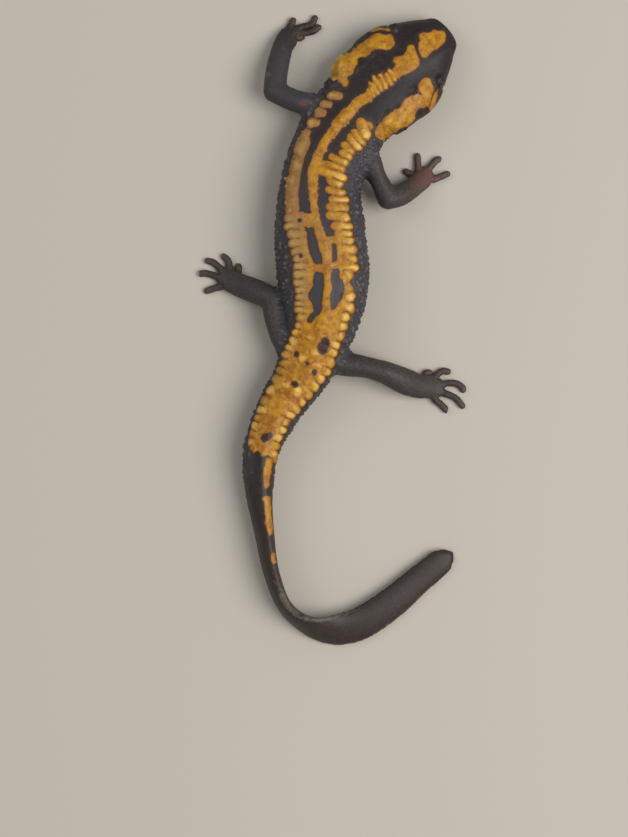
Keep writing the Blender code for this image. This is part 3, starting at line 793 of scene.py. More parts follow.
def bars_of(ends, lengths, seed):
    """One bar for each outer end.  Its half width there is half of the way to its
    neighbours, more or less by chance, and less than that at its inner end."""
    places, outs = np.array(ends).T
    number = np.arange(len(places))
    half = 0.5 * np.minimum(np.gradient(places), 2.6) * (1.0 + 0.22 * chance(number, 1, seed))
    length = along_body(places, lengths) * (0.8 + 0.4 * chance(number, 2, seed))
    lean = 0.8 * (chance(number, 3, seed) - 0.5)
    side = np.sign(outs)
    inner = np.stack([places + lean, outs - side * (length - 0.7 * half), 0.7 * half], -1)
    outer = np.stack([places, outs - side * half, half], -1)
    return np.stack([inner, outer], 1).tolist()


bars = BARS_FREE + bars_of(ENDS_RIGHT, LENGTHS_RIGHT, 5) + bars_of(ENDS_LEFT, LENGTHS_LEFT, 9)
print("bars:", len(bars))

# %% Glands
BAR_EDGE, NAPE_EDGE = 0.95, 0.55  # mm over which a bar rises to its full height

run, out, arc, angle = (known[name] for name in ("run", "out", "arc", "angle"))
side_out = np.abs(out)

# Neat rows would look made by machine, so places are bent a little before they are
# compared with the bars.
bent_run = run + 0.30 * ripple(run, out, 2.4, 61) + 0.14 * ripple(run, out, 0.9, 62)
bent_out = out + 0.26 * ripple(run, out, 2.6, 63) + 0.14 * ripple(run, out, 1.0, 64)
in_bar, in_next, bar_share, bar_number = nearest_stroke(bars, bent_run, bent_out)
in_nape, _, nape_share, _ = nearest_stroke(
    NAPE_BARS, bent_run + 0.25 * ripple(run, out, 1.1, 67),
    bent_out + 0.5 * ripple(run, 0.4 * out, 0.9, 68))

# A bar rises as a sine to its full height and is lower at its inner end.  Each has a
# height of its own, dips where it touches the next, and is never quite even.
swelling = np.where(out > 0, along_body(run, SWELLING_RIGHT), along_body(run, SWELLING_LEFT))
dome = np.sin(0.5 * np.pi * np.clip(in_bar / BAR_EDGE, 0, 1)) ** 0.9
inner = 0.45 - 0.33 * between(86, 93, run)
gland = dome * (inner + (1 - inner) * bar_share) * (0.62 + 0.55 * chance(bar_number, 4, 2))
gland *= 1 - 0.5 * hump(in_bar - in_next, 0.5) * between(-0.3, 0.2, in_next)
gland *= 0.88 + 0.12 * ripple(run, out, 0.8, 66)
gland *= between(-0.1, 0.3, angle - 0.25 * between(95, 125, run))
nape = np.sin(0.5 * np.pi * np.clip(in_nape / NAPE_EDGE, 0, 1))
nape *= 0.6 + 0.4 * np.abs(2 * nape_share - 1)
soft_part = hump(run - 50, 9.0) * between(4.0, 5.0, -out)  # the left row is worn smooth here
print("points on glands:", int((in_bar > 0).sum()))

# %% The ridge, the warts and the lumps
MIDDLE = [(0, 0.0), (10, 0.0), (14, 0.3), (20, 0.2), (28, -0.4), (33, -0.9), (40, -1.9),
          (46, -2.4), (52, -2.2), (58, -1.2), (63, -0.4), (67, 0.8), (72, 1.1),
          (80, 1.0), (88, 0.4), (96, 0.2), (110, 0.3), (122, 0.6), (135, 0.4), (212, 0.0)]
RIDGE_HEIGHT, NAPE_HEIGHT = 0.30, 0.28  # mm
# How high warts, grains and lumps stand, as a share of their radius.
WART_HEIGHT, GRAIN_HEIGHT, TAIL_GRAIN_HEIGHT = 0.74, 0.10, 0.05
LUMP_HEIGHT, SOFT_LUMP_HEIGHT, SWOLLEN_HEIGHT = 0.17, 0.26, 0.15

on_body = 1 - between(1.10, 1.32, known["outside"])
upper = between(-0.15, 0.25, angle)
on_back = on_body * upper
trunk = stretch(run, 27, 33, 120, 140)
rump = stretch(run, 84, 92, 118, 124)
beside_bars = 1 - between(-0.5, 0.1, in_bar)
flank = (1 - between(0.75, 1.15, angle)) * between(-1.2, -0.5, angle) * beside_bars
ridge = hump(out - along_body(run, MIDDLE), 1.1) * upper
ridge *= stretch(run, 24, 30, 128, 150)
ridge *= 0.8 + 0.2 * ripple(run, out, 1.3, 65)
warts = knobs(run, arc, 1.25, 0.40, 0.80, 0.9, 11)
grains = knobs(run, arc, 0.80, 0.25, 0.45, 0.9, 23)
lump_run = bent_run + 0.55 * ripple(run, out, 1.5, 69)
lump_out = 0.75 * arc + 0.55 * ripple(run, out, 1.5, 70)
lumps = knobs(lump_run, lump_out, 2.7, 1.0, 1.8, 0.95, 37)
soft_lumps = knobs(lump_run, 0.6 * lump_out, 2.5, 1.0, 1.6, 1.0, 41) * soft_part
swollen = knobs(lump_run, 1.4 * lump_out, 3.0, 1.2, 2.0, 1.0, 39)
swollen *= between(5, 7, side_out) * stretch(run, 12, 16, 29, 32)

relief = on_back * (swelling * gland + NAPE_HEIGHT * nape)
relief += on_body * trunk * (
    RIDGE_HEIGHT * ridge + WART_HEIGHT * flank * warts + GRAIN_HEIGHT * grains)
relief += on_back * (LUMP_HEIGHT * rump * beside_bars * lumps + SOFT_LUMP_HEIGHT * soft_lumps)
relief += on_back * SWOLLEN_HEIGHT * swollen
relief += on_body * between(125, 140, run) * TAIL_GRAIN_HEIGHT * grains
print("relief:", round(float(relief.min()), 2), "to", round(float(relief.max()), 2), "mm")

# %% The head's own forms
# Height; distance from the snout and reach; distance out from the spine and reach.
HEAD_FORMS = [
    (0.95, 24.8, 3.0, 9.8, 2.2),  # the gland behind the eye
    (0.35, 16.5, 4.0, 9.8, 1.8),  # the cheek
    (0.25, 4.5, 3.0, 3.6, 1.2),  # the edge of the snout
    (-0.35, 13.0, 5.5, 4.8, 2.2),  # the hollow between the eyes
]
LEFT_GLAND = (0.70, 26.2, 2.6, -10.4, 2.2)  # more of the left gland, which bulges out
HEAD_GRAIN_HEIGHT = 0.07
NECK_FOLD, NECK_FOLD_DEPTH = 29.4, 0.50
SMALL_FOLDS, SMALL_FOLD_DEPTH = (31.4, 33.2, 35.4), 0.20
LIP_HEIGHT, LOWER_LIP_HEIGHT, MOUTH_DEPTH = 0.20, 0.05, 0.42
NOSTRIL_RIM, NOSTRIL_DEPTH = 0.08, 0.40


def form(height, along, along_reach, beside, beside_reach, out):
    """A round bump or hollow of this height at this place on the head."""
    return height * hump(run - along, along_reach) * hump(out - beside, beside_reach)


head = stretch(run, 1.0, 4.0, 27, 33)
relief += on_back * (HEAD_GRAIN_HEIGHT * head * grains + form(*LEFT_GLAND, out)
                     + sum(form(*numbers, side_out) for numbers in HEAD_FORMS))
neck_fold = run - (NECK_FOLD - 0.10 * np.maximum(side_out - 5, 0))
throat = 1 - between(-0.4, 0.5, angle)
folded = np.maximum(between(7, 10, side_out), throat)
relief -= on_body * NECK_FOLD_DEPTH * hump(neck_fold, 0.7) * folded
for fold in SMALL_FOLDS:
    bent = run - fold - 0.35 * np.sin(side_out * 0.9 + fold)
    relief -= on_body * SMALL_FOLD_DEPTH * hump(bent, 0.35) * between(5.5, 8.5, side_out)
gap = mouth_gap(place, known)
in_mouth = (known["outside"] < 1.3) * (1 - between(MOUTH_LENGTH - 0.8, MOUTH_LENGTH + 0.6, run))
relief += in_mouth * (LIP_HEIGHT * hump(gap - 0.75, 0.6) - MOUTH_DEPTH * hump(gap, 0.17)
                      + LOWER_LIP_HEIGHT * hump(gap + 0.55, 0.4))
to_nostril = to_nearest(place, nostrils)
relief += NOSTRIL_RIM * hump(to_nostril - 0.55, 0.25) - NOSTRIL_DEPTH * hump(to_nostril, 0.36)
print("deepest crease or pit:", round(float(relief.min()), 2), "mm")

# %% Limbs and the tail's tip; moving the points
LIMB_GRAIN_HEIGHT = 0.10
on_limb = between(1.10, 1.45, known["outside"])
limb_grains = knobs(place[:, 0] + 0.7 * place[:, 2], place[:, 1] - 0.7 * place[:, 2],
                    1.0, 0.30, 0.55, 0.9, 31)
relief += on_limb * LIMB_GRAIN_HEIGHT * limb_grains
relief *= between(0.0, 0.6, place[:, 2]) * (1 - between(BODY_LENGTH - 8, BODY_LENGTH - 3, run))
place = laid(mesh, place + normals_of(mesh) * relief[:, None])
print("points moved by over 0.1 mm:", int((np.abs(relief) > 0.1).sum()))

# %% [markdown]
# ## Eyes and lids
#
# The eyes are small, dark and set in the edges of the head, so that from above little
# more than the upper lid shows.  A lid is skin drawn tight over the ball, with a slit
# through which the ball shows.  So the skin near each eye is measured from the middle
# of the ball: inside the slit it goes down behind the ball, round the slit it stands
# as a rim just off the ball, and everywhere else it keeps clear of the ball and goes
# over softly into the head.  The slit is a lens shape with a corner at each end.

# %% Lids
LID_THICKNESS = 0.26
LID_EDGE = 0.10  # how far the rim stands off the ball, right at the slit
LID_SOFTNESS = 0.16  # mm over which the lid goes over into the head
SLIT_LONG, SLIT_ABOVE, SLIT_BELOW = 0.82, 0.46, 0.50  # half angles of the slit, in radians
LOOK_FORWARD, LOOK_UP = 0.25, 0.24  # parts of the eye's look, beside 1 outward
LID_REACH = 3.6  # mm from the middle of the ball
LID_CREASE = 0.10  # depth of the crease over the upper lid
BEHIND_BALL = 0.75  # share of the radius to which the skin inside the slit goes down


def eye_axes(side):
    """The eye looks outward, a little up and forward; the slit runs with the head."""
    sign = 1 if side == "right" else -1
    _, way = spine_at(np.array(EYE_BACK))
    way = np.array([*way, 0])
    outward = sign * np.array([-way[1], way[0], 0])
    look = outward - LOOK_FORWARD * way + np.array([0, 0, LOOK_UP])
    look /= np.linalg.norm(look)
    along = way - np.dot(way, look) * look
    along /= np.linalg.norm(along)
    up = np.cross(look, along)
    return look, along, up * np.sign(up[2])


for side, centre in eye_centres.items():
    look, along, up = eye_axes(side)
    away = place - centre
    distance = np.maximum(np.linalg.norm(away, axis=1), 1e-6)
    forward = away @ look
    a = np.arctan2(away @ along, forward) / SLIT_LONG
    b = np.arctan2(away @ up, forward)
    slit = np.abs(b) / np.where(b > 0, SLIT_ABOVE, SLIT_BELOW) + a**2
    rim = EYE_RADIUS + LID_EDGE + (LID_THICKNESS - LID_EDGE) * between(1.02, 1.45, slit)
    clear = EYE_RADIUS + LID_THICKNESS
    head_skin = clear + LID_SOFTNESS * np.logaddexp(0, (distance - clear) / LID_SOFTNESS)
    blend = between(1.5, 2.7, slit)
    lid = rim * (1 - blend) + head_skin * blend
    lid -= LID_CREASE * hump(slit - 2.5, 0.35) * (b > 0)
    wall = between(0.92, 1.03, slit)
    target = BEHIND_BALL * EYE_RADIUS * (1 - wall) + lid * wall
    target = np.where(forward > 0.1, target, head_skin)
    near = distance < LID_REACH
    place = centre + away * (np.where(near, target, distance) / distance)[:, None]
set_points(mesh, place)
shaded_smooth(mesh)
print("lids made; faces:", len(mesh.polygons))

# %% [markdown]
# ## Markings
#
# A yellow band runs down the middle of the back and one along each row of glands.
# They break up into blots on the head, join across the back in places and flood the
# rump.  Each band is laid like a stroke of a brush: stations that say where it runs,
# beside the spine, and how wide it is there.  What is stored is not a colour but how
# far inside the yellow a point lies, in millimetres, so that the material can draw
# edges that are sharper than the net.

# %% Strokes: distance from the snout, out from the spine, and half width
# The bands and blots of yellow, the black windows in them, and dark spots on them.
YELLOW = [
    [(2.4, 0.2, 1.1), (4.2, 0.1, 2.0), (5.8, 0.1, 2.1), (7.4, 0.0, 2.1), (9.0, 1.2, 1.1)],
    [(5.6, -1.4, 1.3), (6.6, -2.7, 0.7)],
    [(2.9, 1.3, 0.8)],
    [(10.8, -2.1, 0.9), (11.6, -0.8, 1.4), (12.9, 0.6, 2.0), (15.0, 0.2, 2.2),
     (17.0, 0.3, 1.4), (19.2, 0.2, 1.2), (20.6, 0.1, 1.6), (22.2, -0.2, 1.7),
     (23.8, -0.6, 1.3), (27.2, -0.1, 1.3), (29.5, -0.6, 1.5), (32.7, -0.8, 1.4),
     (36.4, -1.4, 1.3), (39.9, -1.8, 1.2), (44.8, -2.4, 1.2), (48.4, -2.4, 1.3),
     (51.2, -2.3, 1.3), (54.9, -1.7, 1.1), (58.4, -1.2, 1.0), (62.9, -0.5, 1.0),
     (66.3, 0.8, 1.3), (69.6, 1.2, 1.3), (73.4, 1.1, 1.1), (76.6, 1.0, 0.9),
     (80.5, 1.0, 1.0), (83.8, 1.0, 1.3), (87.0, 0.8, 1.8)],
    [(14.8, -1.2, 1.3), (15.4, -2.1, 0.8)],
    [(27.2, 1.2, 0.45)],
    [(13.4, -7.6, 1.2), (14.6, -7.2, 2.1), (15.6, -8.5, 2.0), (17.8, -9.3, 1.5),
     (19.8, -9.2, 1.9), (21.6, -9.7, 1.3), (22.8, -9.5, 1.1), (24.4, -9.5, 2.1),
     (26.2, -9.8, 2.8), (27.4, -9.9, 2.3)],
    [(14.2, -6.2, 1.2)],
    [(28.4, -7.2, 0.9), (28.4, -6.5, 0.8)],
    [(11.6, -9.2, 0.4), (13.2, -11.0, 0.5), (15.1, -11.8, 0.4)],
    [(13.3, 6.9, 1.4), (14.6, 8.0, 2.0), (15.4, 9.2, 1.3), (16.9, 10.1, 1.2),
     (18.8, 8.7, 1.5), (20.6, 8.7, 1.9), (22.2, 9.2, 2.0), (24.5, 8.8, 2.1),
     (27.5, 8.6, 2.2), (30.3, 8.4, 1.9), (32.2, 8.6, 1.4)],
    [(13.4, 10.7, 0.5), (15.2, 11.8, 0.7), (16.8, 12.3, 0.5)],
    [(41.6, -7.2, 0.9), (44.0, -7.0, 1.55), (49.0, -6.9, 1.55), (54.4, -6.8, 1.50),
     (59.0, -6.8, 1.6), (61.0, -6.5, 1.95), (65.0, -5.3, 2.1), (69.5, -4.75, 2.15),
     (72.5, -4.45, 2.45), (76.5, -4.65, 2.25), (79.2, -5.05, 1.45), (81.5, -4.65, 1.65),
     (83.5, -4.25, 1.95), (86.0, -4.5, 1.3), (88.0, -3.9, 1.7)],
    [(60.8, -5.0, 1.8), (61.3, -2.0, 1.6)],
    [(72.8, -2.2, 1.0), (72.8, 0.2, 1.0)],
    [(65.5, 5.2, 1.8), (68.0, 5.6, 1.8), (70.5, 5.95, 2.05), (72.6, 6.1, 2.0),
     (74.2, 5.45, 1.45), (75.6, 5.6, 1.1), (76.8, 5.5, 0.6), (78.2, 6.1, 1.0),
     (80.0, 5.8, 1.3), (82.0, 5.4, 1.7), (84.0, 4.4, 1.7), (87.0, 3.7, 2.3)],
    [(66.2, 2.0, 1.0), (66.2, 4.5, 1.2)],
    [(72.2, 2.0, 0.8), (72.2, 4.2, 0.9)],
    [(83.6, 2.8, 0.9), (85.6, 2.6, 1.8)],
    [(88.7, 0.4, 5.0), (92.0, 0.1, 5.2), (96.2, 0.1, 5.7), (100.0, 0.1, 5.1),
     (105.0, -0.2, 4.5), (110.0, -0.3, 4.0), (115.0, -0.4, 3.7), (119.3, -0.1, 3.4)],
    [(122.2, 3.6, 0.8), (123.6, 3.8, 0.5)],
    [(123.6, 2.2, 0.8), (125.0, 2.3, 0.9), (127.0, 2.2, 0.9), (130.2, 1.9, 0.6)],
    [(133.4, 1.9, 0.8), (137.5, 1.8, 0.85), (141.5, 1.5, 0.6), (142.6, 1.3, 0.3)],
    [(147.5, 1.4, 0.5), (149.7, 1.1, 0.4)],
]
WINDOWS = [
    [(64.2, -2.3, 0.7), (66.6, -2.3, 0.9), (69.0, -1.7, 1.1), (71.2, -1.4, 0.8)],
    [(74.8, -0.8, 1.0), (77.6, -1.2, 1.2), (79.8, -2.2, 1.6), (82.4, -1.2, 1.2),
     (84.2, -1.2, 0.9), (86.0, -2.4, 0.7)],
    [(67.6, 3.0, 0.5), (70.9, 3.2, 0.5)],
    [(73.9, 3.5, 0.7), (76.6, 3.0, 1.2), (78.4, 3.3, 1.6), (80.4, 2.9, 1.35),
     (81.7, 2.5, 0.7)],
    [(76.5, 8.2, 1.3)],
    [(122.8, -0.6, 1.0)],
]
SPOTS = [
    [(90.6, 2.4, 1.2), (92.2, 2.3, 1.3)],
    [(95.9, -3.0, 0.7)], [(97.1, 0.2, 0.45)], [(98.0, 2.8, 0.7)], [(102.7, 0.0, 0.9)],
    [(116.8, 0.9, 0.7), (118.2, -0.1, 0.9)], [(61.0, -5.0, 0.55)], [(69.6, -5.4, 0.5)],
    [(86.3, -2.6, 0.6)],
]
print("strokes:", len(YELLOW), "windows:", len(WINDOWS), "spots:", len(SPOTS))

# %% The yellow
KNOB_RADIUS, KNOB_HEIGHT = 0.52, 0.16  # mm, of the small knobs on the yellow

small_knobs = knobs(run, out, 1.2, 0.28, KNOB_RADIUS, 0.65, 71) / KNOB_RADIUS
bands = nearest_stroke(YELLOW, bent_run, bent_out)[0]
yellow = np.maximum(bands + 0.45 * small_knobs * between(14, 18, run), in_bar)
yellow = np.maximum(yellow, in_nape)
yellow = np.minimum(yellow, -nearest_stroke(WINDOWS, bent_run, bent_out)[0])
side_cut = 0.06 + 0.12 * ripple(run, 0 * run, 1.7, 86) + 0.28 * between(95, 125, run)
yellow = np.minimum(yellow, 5.0 * (angle - side_cut))
yellow = np.where(known["outside"] > 1.35, FAR, yellow)
spot = np.maximum(nearest_stroke(SPOTS, bent_run, bent_out)[0], -2.0)
raised = KNOB_HEIGHT * small_knobs * between(-0.5, 0.2, yellow) * on_back
place = place + normals_of(mesh) * raised[:, None]
print("points in the yellow:", int((yellow > 0).sum()))

# %% Knobs and creases
# How far each point stands up as a knob, from 0 to 1: knobs get the lightest yellow, a painted
# highlight.
back_of_head = hump(run - 26.5, 5.5) * between(6, 8, side_out)
knob = np.maximum.reduce([
    gland * (1 - 0.6 * soft_part), 0.8 * nape, 0.8 * small_knobs, 0.55 * rump * lumps,
    0.65 * soft_lumps, 0.18 * swollen + 0.45 * back_of_head])

# How deep it lies in a crease, which gets painted shade: brown lines part the bars of a row,
# follow their outlines, and go round the lumps.  On the rump they reach less far in.
row_end = np.where(out > 0, along_body(run, ENDS_RIGHT), -along_body(run, ENDS_LEFT))
inward = row_end - side_out
seam = hump(in_bar - in_next, 0.42) * between(-0.5, 0.0, in_next)
seam *= 1 - rump * between(2.2, 4.2, inward)
outline = 0.7 * hump(in_bar, 0.18) * (1 - rump * between(0.8, 1.6, inward))
crease = np.maximum(outline, seam) * between(0.0, 0.5, bar_share) * (1 - 0.9 * soft_part)
crease = np.maximum.reduce([
    crease, 0.75 * hump(in_nape, 0.17), 0.45 * rump * beside_bars * hump(lumps, 0.30),
    0.56 * soft_part * hump(soft_lumps, 0.40)])
print("points on knobs:", int((knob > 0.5).sum()), "in creases:", int((crease > 0.5).sum()))

# %% Orange of the belly and of the tail's lower edge, and the tail's pale parts
belly_spots = knobs(bent_run, arc, 3.4, 0.9, 1.9, 0.85, 51)
on_belly = (angle < -0.2) & (run > 5) & (run < 118) & (known["outside"] < 1.4)
under_side = 0.45 * (1 - between(-1.3, -0.8, angle)) - 1.5 * between(-0.7, -0.2, angle)
orange = np.where(on_belly, 2.2 * belly_spots - 0.5 + under_side, -3.0)
tail_edge = 0.50 + 0.8 * hump(run - 166, 12) - known["keel"] + 0.30 * ripple(run, out, 3.0, 81)
behind = stretch(run, 118, 135, BODY_LENGTH - 9, BODY_LENGTH - 4)
orange = np.maximum(orange, np.where(on_body > 0.5, tail_edge - 3 * (1 - behind), -3.0))

pale_side = between(0.50, 0.95, known["across"]) * between(-0.7, -0.2, angle)
pale_side *= stretch(run, 120, 148, 158, 172)
pale_edge = 1 - between(0.3, 1.3, known["crest"])
pale_edge *= stretch(run, 146, 160, 178, 192)
streaks = 0.65 + 0.35 * ripple(0.25 * run, 3.0 * known["crest"], 1.0, 85)
pale_crest = np.maximum(pale_side, pale_edge) * streaks * on_body
print("points in the orange:", int((orange > 0).sum()))

# %% Limbs, digits and the parts of the body
# Middles of two red-brown patches: on the right hand, and at the left armpit.
RED_HAND, ARMPIT = np.array([24.0, 38.6]), np.array([-6.6, 56.3, 9.8])

limb = between(1.08, 1.4, known["outside"])
# Painted shade: the left arm, turned away from the main lamp, gets less of the limbs' grey and
# stays darker.
left_arm_shade = limb * between(0, 3, -out) * (1 - between(60, 70, run))
red = hump(np.linalg.norm(place[:, :2] - RED_HAND, axis=1), 6.0) * limb
from_armpit = np.linalg.norm((place - ARMPIT + (*CENTRE, 0)) * (0.8, 1.3, 0.6), axis=1)
red = np.maximum(red, 1.25 * hump(from_armpit, 1.2))
tips = np.zeros(len(place))
for digit in DIGITS:
    end = np.array(digit[-1]) - CENTRE
    tips = np.maximum(tips, hump(np.linalg.norm(place[:, :2] - end, axis=1), 1.8))
tail = between(118, 150, run) * (1 - limb)
pale_end = hump(run - BODY_LENGTH, 4.5) * between(-0.6, 0.8, angle) * (1 - limb)
# The left row and part of the middle band get a paler, tan yellow: partly the skin's own tone
# and partly a painted glare.
left_row = stretch(run, 28, 32, 80, 92) * between(2.5, 4.5, -out)
middle_part = 0.45 * hump(run - 64, 10) * between(-5.5, -2.5, -out)
# Painted reflection: where the sky's bluish sheen lies on the wet black, between the rows and on
# the flanks.
sheen_between_rows = hump(run - 73, 22) * (1 - between(7.5, 9.5, side_out))
rough = np.maximum.reduce([flank * trunk, 0.45 * limb, 0.12 * tail, 0.3 * rump])


def store(mesh, **columns):
    """Writes one number a point, under its name, for the material to read."""
    for name, values in columns.items():
        made = mesh.attributes.new(name, "FLOAT", "POINT")
        made.data.foreach_set("value", np.asarray(values, np.float32))
    print("stored at each point:", ", ".join(columns))


# The limbs' grey is weaker on the left arm, which is painted shade.
store(mesh, yellow=yellow, spot=spot, orange=orange, knob=knob, crease=crease, rough=rough,
      limb=limb * (1 - 0.75 * left_arm_shade), tail=tail, red=red, tips=tips * limb,
      pale=np.maximum(left_row, middle_part), rump=rump,
      crest=np.maximum(pale_crest, 0.35 * pale_end), wart=flank * trunk * warts,
      slate=np.maximum(sheen_between_rows, 0.9 * flank * trunk))

# %% [markdown]
# ## Materials
#
# A material is a sum: masks from the stored numbers pick between colours, and noise
# breaks up every edge and every plain area.  Such sums are easier to read as Python
# than as a drawing of boxes, so a small class turns the operators into Math nodes.

# %% Writing shader sums in Python


class Wire:
    """An output socket with arithmetic: an operator adds the Math node for it."""

    def __init__(self, paint, socket):
        self.paint, self.socket = paint, socket

    def math(self, operation, *values, clamp=False):
        """A Math node on this output and these values."""
        node = self.paint.node("ShaderNodeMath", {"operation": operation, "use_clamp": clamp},
                               dict(enumerate((self, *values))))
        return node.out()

    def __add__(self, other):
        return self.math("ADD", other)

    __radd__ = __add__

    def __sub__(self, other):
        return self.math("SUBTRACT", other)

    def __rsub__(self, other):
        return (self * -1) + other

    def __mul__(self, other):
        return self.math("MULTIPLY", other)

    __rmul__ = __mul__

    def limited(self):
        """The same number, kept from 0 to 1."""
        return self.math("ADD", 0.0, clamp=True)

    def step(self, low, high):
        """0 at low, 1 at high, smooth between."""
        node = self.paint.node("ShaderNodeMapRange", {"interpolation_type": "SMOOTHSTEP"},
                               {"Value": self, "From Min": low, "From Max": high})
        return node.out()


class Node:
    """A node whose outputs can be asked for by name."""

    def __init__(self, paint, node):
        self.paint, self.node = paint, node

    def out(self, name=0):
        """The output of this name, or of this number in the list."""
        if isinstance(name, str):
            name = [socket.identifier for socket in self.node.outputs].index(name)
        return Wire(self.paint, self.node.outputs[name])


NOISE_ROUGHNESS = 0.55  # share of its strength that each finer layer of noise keeps


class Paint:
    """One material and its Principled shader, with the sockets that stay constant."""

    def __init__(self, name, **constants):
        self.material = bpy.data.materials.new(name)
        self.material.use_nodes = True
        self.tree = self.material.node_tree
        self.shader = self.tree.nodes["Principled BSDF"]
        for socket, value in constants.items():
            self.shader.inputs[socket.replace("_", " ")].default_value = value

    def put(self, socket, value):
        """Links an output to the socket, or writes a constant there."""
        if isinstance(value, Wire):
            self.tree.links.new(value.socket, socket)
        else:
            socket.default_value = value

    def node(self, kind, settings=None, values=None):
        """Any node: its settings first, then its sockets, by number or identifier."""
        node = self.tree.nodes.new(kind)
        for name, value in (settings or {}).items():
            setattr(node, name, value)
        names = [socket.identifier for socket in node.inputs]
        for name, value in (values or {}).items():
            self.put(node.inputs[name if isinstance(name, int) else names.index(name)], value)
        return Node(self, node)

    def stored(self, name):
        """The number that store() wrote under this name."""
        return self.node("ShaderNodeAttribute", {"attribute_name": name}).out("Fac")

    def place(self):
        """The point's own place in millimetres."""
        metres = self.node("ShaderNodeTexCoord").out("Object")
        scaled = self.node("ShaderNodeVectorMath", {"operation": "SCALE"},
                           {"Vector": metres, "Scale": 1 / MM})
        return scaled.out("Vector")

    def noise(self, at, scale, detail=3.0):
        """Noise from about -0.5 to 0.5; scale is in waves per millimetre."""
        node = self.node("ShaderNodeTexNoise", None,
                         {"Vector": at, "Scale": scale, "Detail": detail,
                          "Roughness": NOISE_ROUGHNESS})
        return node.out(0) - 0.5

    def cells(self, at, scale):
        """Distance to the nearest of many scattered points."""
        node = self.node("ShaderNodeTexVoronoi", None, {"Vector": at, "Scale": scale})
        return node.out("Distance")

    def mix(self, share, first, second):
        """The first colour where share is 0 and the second where it is 1."""
        node = self.node("ShaderNodeMix", {"data_type": "RGBA", "clamp_factor": True},
                         {"Factor_Float": share, "A_Color": self.colour(first),
                          "B_Color": self.colour(second)})
        return node.out("Result_Color")

    def colour(self, value):
        """A colour's link as it is, and three numbers with a fourth for alpha."""
        return value if isinstance(value, Wire) else (*value, 1.0)

    def feed(self, socket, value):
        """Puts a value on one of the shader's sockets."""
        self.put(self.shader.inputs[socket], value)

    def bump(self, height, distance, strength):
        """Fine relief that is not in the mesh: a height of 1 stands this far out."""
        node = self.node("ShaderNodeBump", None,
                         {"Height": height, "Distance": distance, "Strength": strength})
        self.feed("Normal", node.out("Normal"))


# %% [markdown]
# ## The skin's paint
#
# The dark skin is a purplish black, greyer and smoother on the limbs and browner on
# the tail; a bluish slate on it between the rows and on the flanks is a painted
# reflection of the sky, and the left arm is painted darker as shade.  The yellow is
# never even: it is golden on the knobs, which is a painted highlight, orange brown in
# the hollows and darker at its edges, which is painted shade, and paler tan on the left
# row, partly its own tone and partly painted glare.  Where it meets the black there is
# a thin dark brown line.  A thin coat stands for the film of water that a newt always
# carries.  The colours go on in layers, as paint would: each mask, times the share
# that its colour may cover, mixes the next colour over those before it.

# %% Colours, as linear red, green and blue
BLACK, BLACK_WORN = (0.0115, 0.0075, 0.0078), (0.030, 0.021, 0.020)
# Painted reflection: a bluish slate grey for the sky's sheen on the wet black.
SLATE_SHEEN = (0.039, 0.038, 0.046)
WART = (0.108, 0.088, 0.078)
GREY_LIMB, GREY_WORN = (0.032, 0.026, 0.026), (0.066, 0.054, 0.051)
TAIL_DARK, TAIL_WORN = (0.025, 0.018, 0.016), (0.046, 0.034, 0.029)
RED_BROWN = (0.105, 0.048, 0.040)
TIP_BROWN = (0.085, 0.058, 0.045)
CREST = (0.160, 0.140, 0.105)
# The second colour is painted shade, for the darker rim of the yellow; the brown edge is the
# skin's own.
BROWN_EDGE, YELLOW_RIM_SHADE = (0.050, 0.022, 0.014), (0.28, 0.100, 0.012)
YELLOW_DEEP, YELLOW_MAIN = (0.27, 0.096, 0.005), (0.46, 0.222, 0.008)
# Painted highlight: the lightest yellow, on the tops of knobs and glands.
YELLOW_HIGHLIGHT = (0.70, 0.43, 0.08)
# Partly painted glare: a paler tan for the yellow of the left row.
YELLOW_PALE_GLARE = (0.25, 0.15, 0.075)
# Painted shade: dark orange brown in the creases round the glands.
CREASE_SHADE = (0.080, 0.024, 0.006)
SPOT = (0.040, 0.013, 0.012)
ORANGE, TAIL_EDGE = (0.40, 0.115, 0.018), (0.155, 0.068, 0.030)

# %% Black, painted slate sheen and brown
paint = Paint("newt_skin", Specular_IOR_Level=0.29, Coat_Roughness=0.22, Coat_IOR=1.36)
at = paint.place()
fine, mid, broad = paint.noise(at, 2.6, 4), paint.noise(at, 0.9), paint.noise(at, 0.22)
edge = paint.stored("yellow") + mid * 0.5 + fine * 0.25
worn = (fine * 1.6 + mid * 0.8 + 0.5).step(0.2, 1.1)
dark = paint.mix(worn, BLACK, BLACK_WORN)
# Painted reflection: the bluish slate sheen between the rows and on the flanks.
dark = paint.mix((paint.stored("slate") + broad * 0.5).limited(), dark, SLATE_SHEEN)
dark = paint.mix((paint.stored("wart") + fine * 0.5).step(0.16, 0.62) * 0.85, dark, WART)
dark = paint.mix(paint.stored("tail"), dark, paint.mix(worn, TAIL_DARK, TAIL_WORN))
dark = paint.mix(paint.stored("limb"), dark, paint.mix(worn, GREY_LIMB, GREY_WORN))
dark = paint.mix((paint.stored("red") + fine * 0.3 + mid * 0.3).step(0.15, 1.1), dark, RED_BROWN)
dark = paint.mix(paint.stored("tips") * 0.5, dark, TIP_BROWN)
pale_fin = (paint.stored("crest") + mid * 0.9 + fine * 0.5).step(0.25, 1.0)
dark = paint.mix(pale_fin * 0.65, dark, CREST)
dark = paint.mix(edge.step(-0.85, 0.0) * 0.8, dark, BROWN_EDGE)
in_orange = (paint.stored("orange") + mid * 0.9 + fine * 0.4).step(-0.2, 0.35)
dark = paint.mix(in_orange * 0.75, dark, paint.mix(paint.stored("tail"), ORANGE, TAIL_EDGE))
print("nodes of the dark skin:", len(paint.tree.nodes))

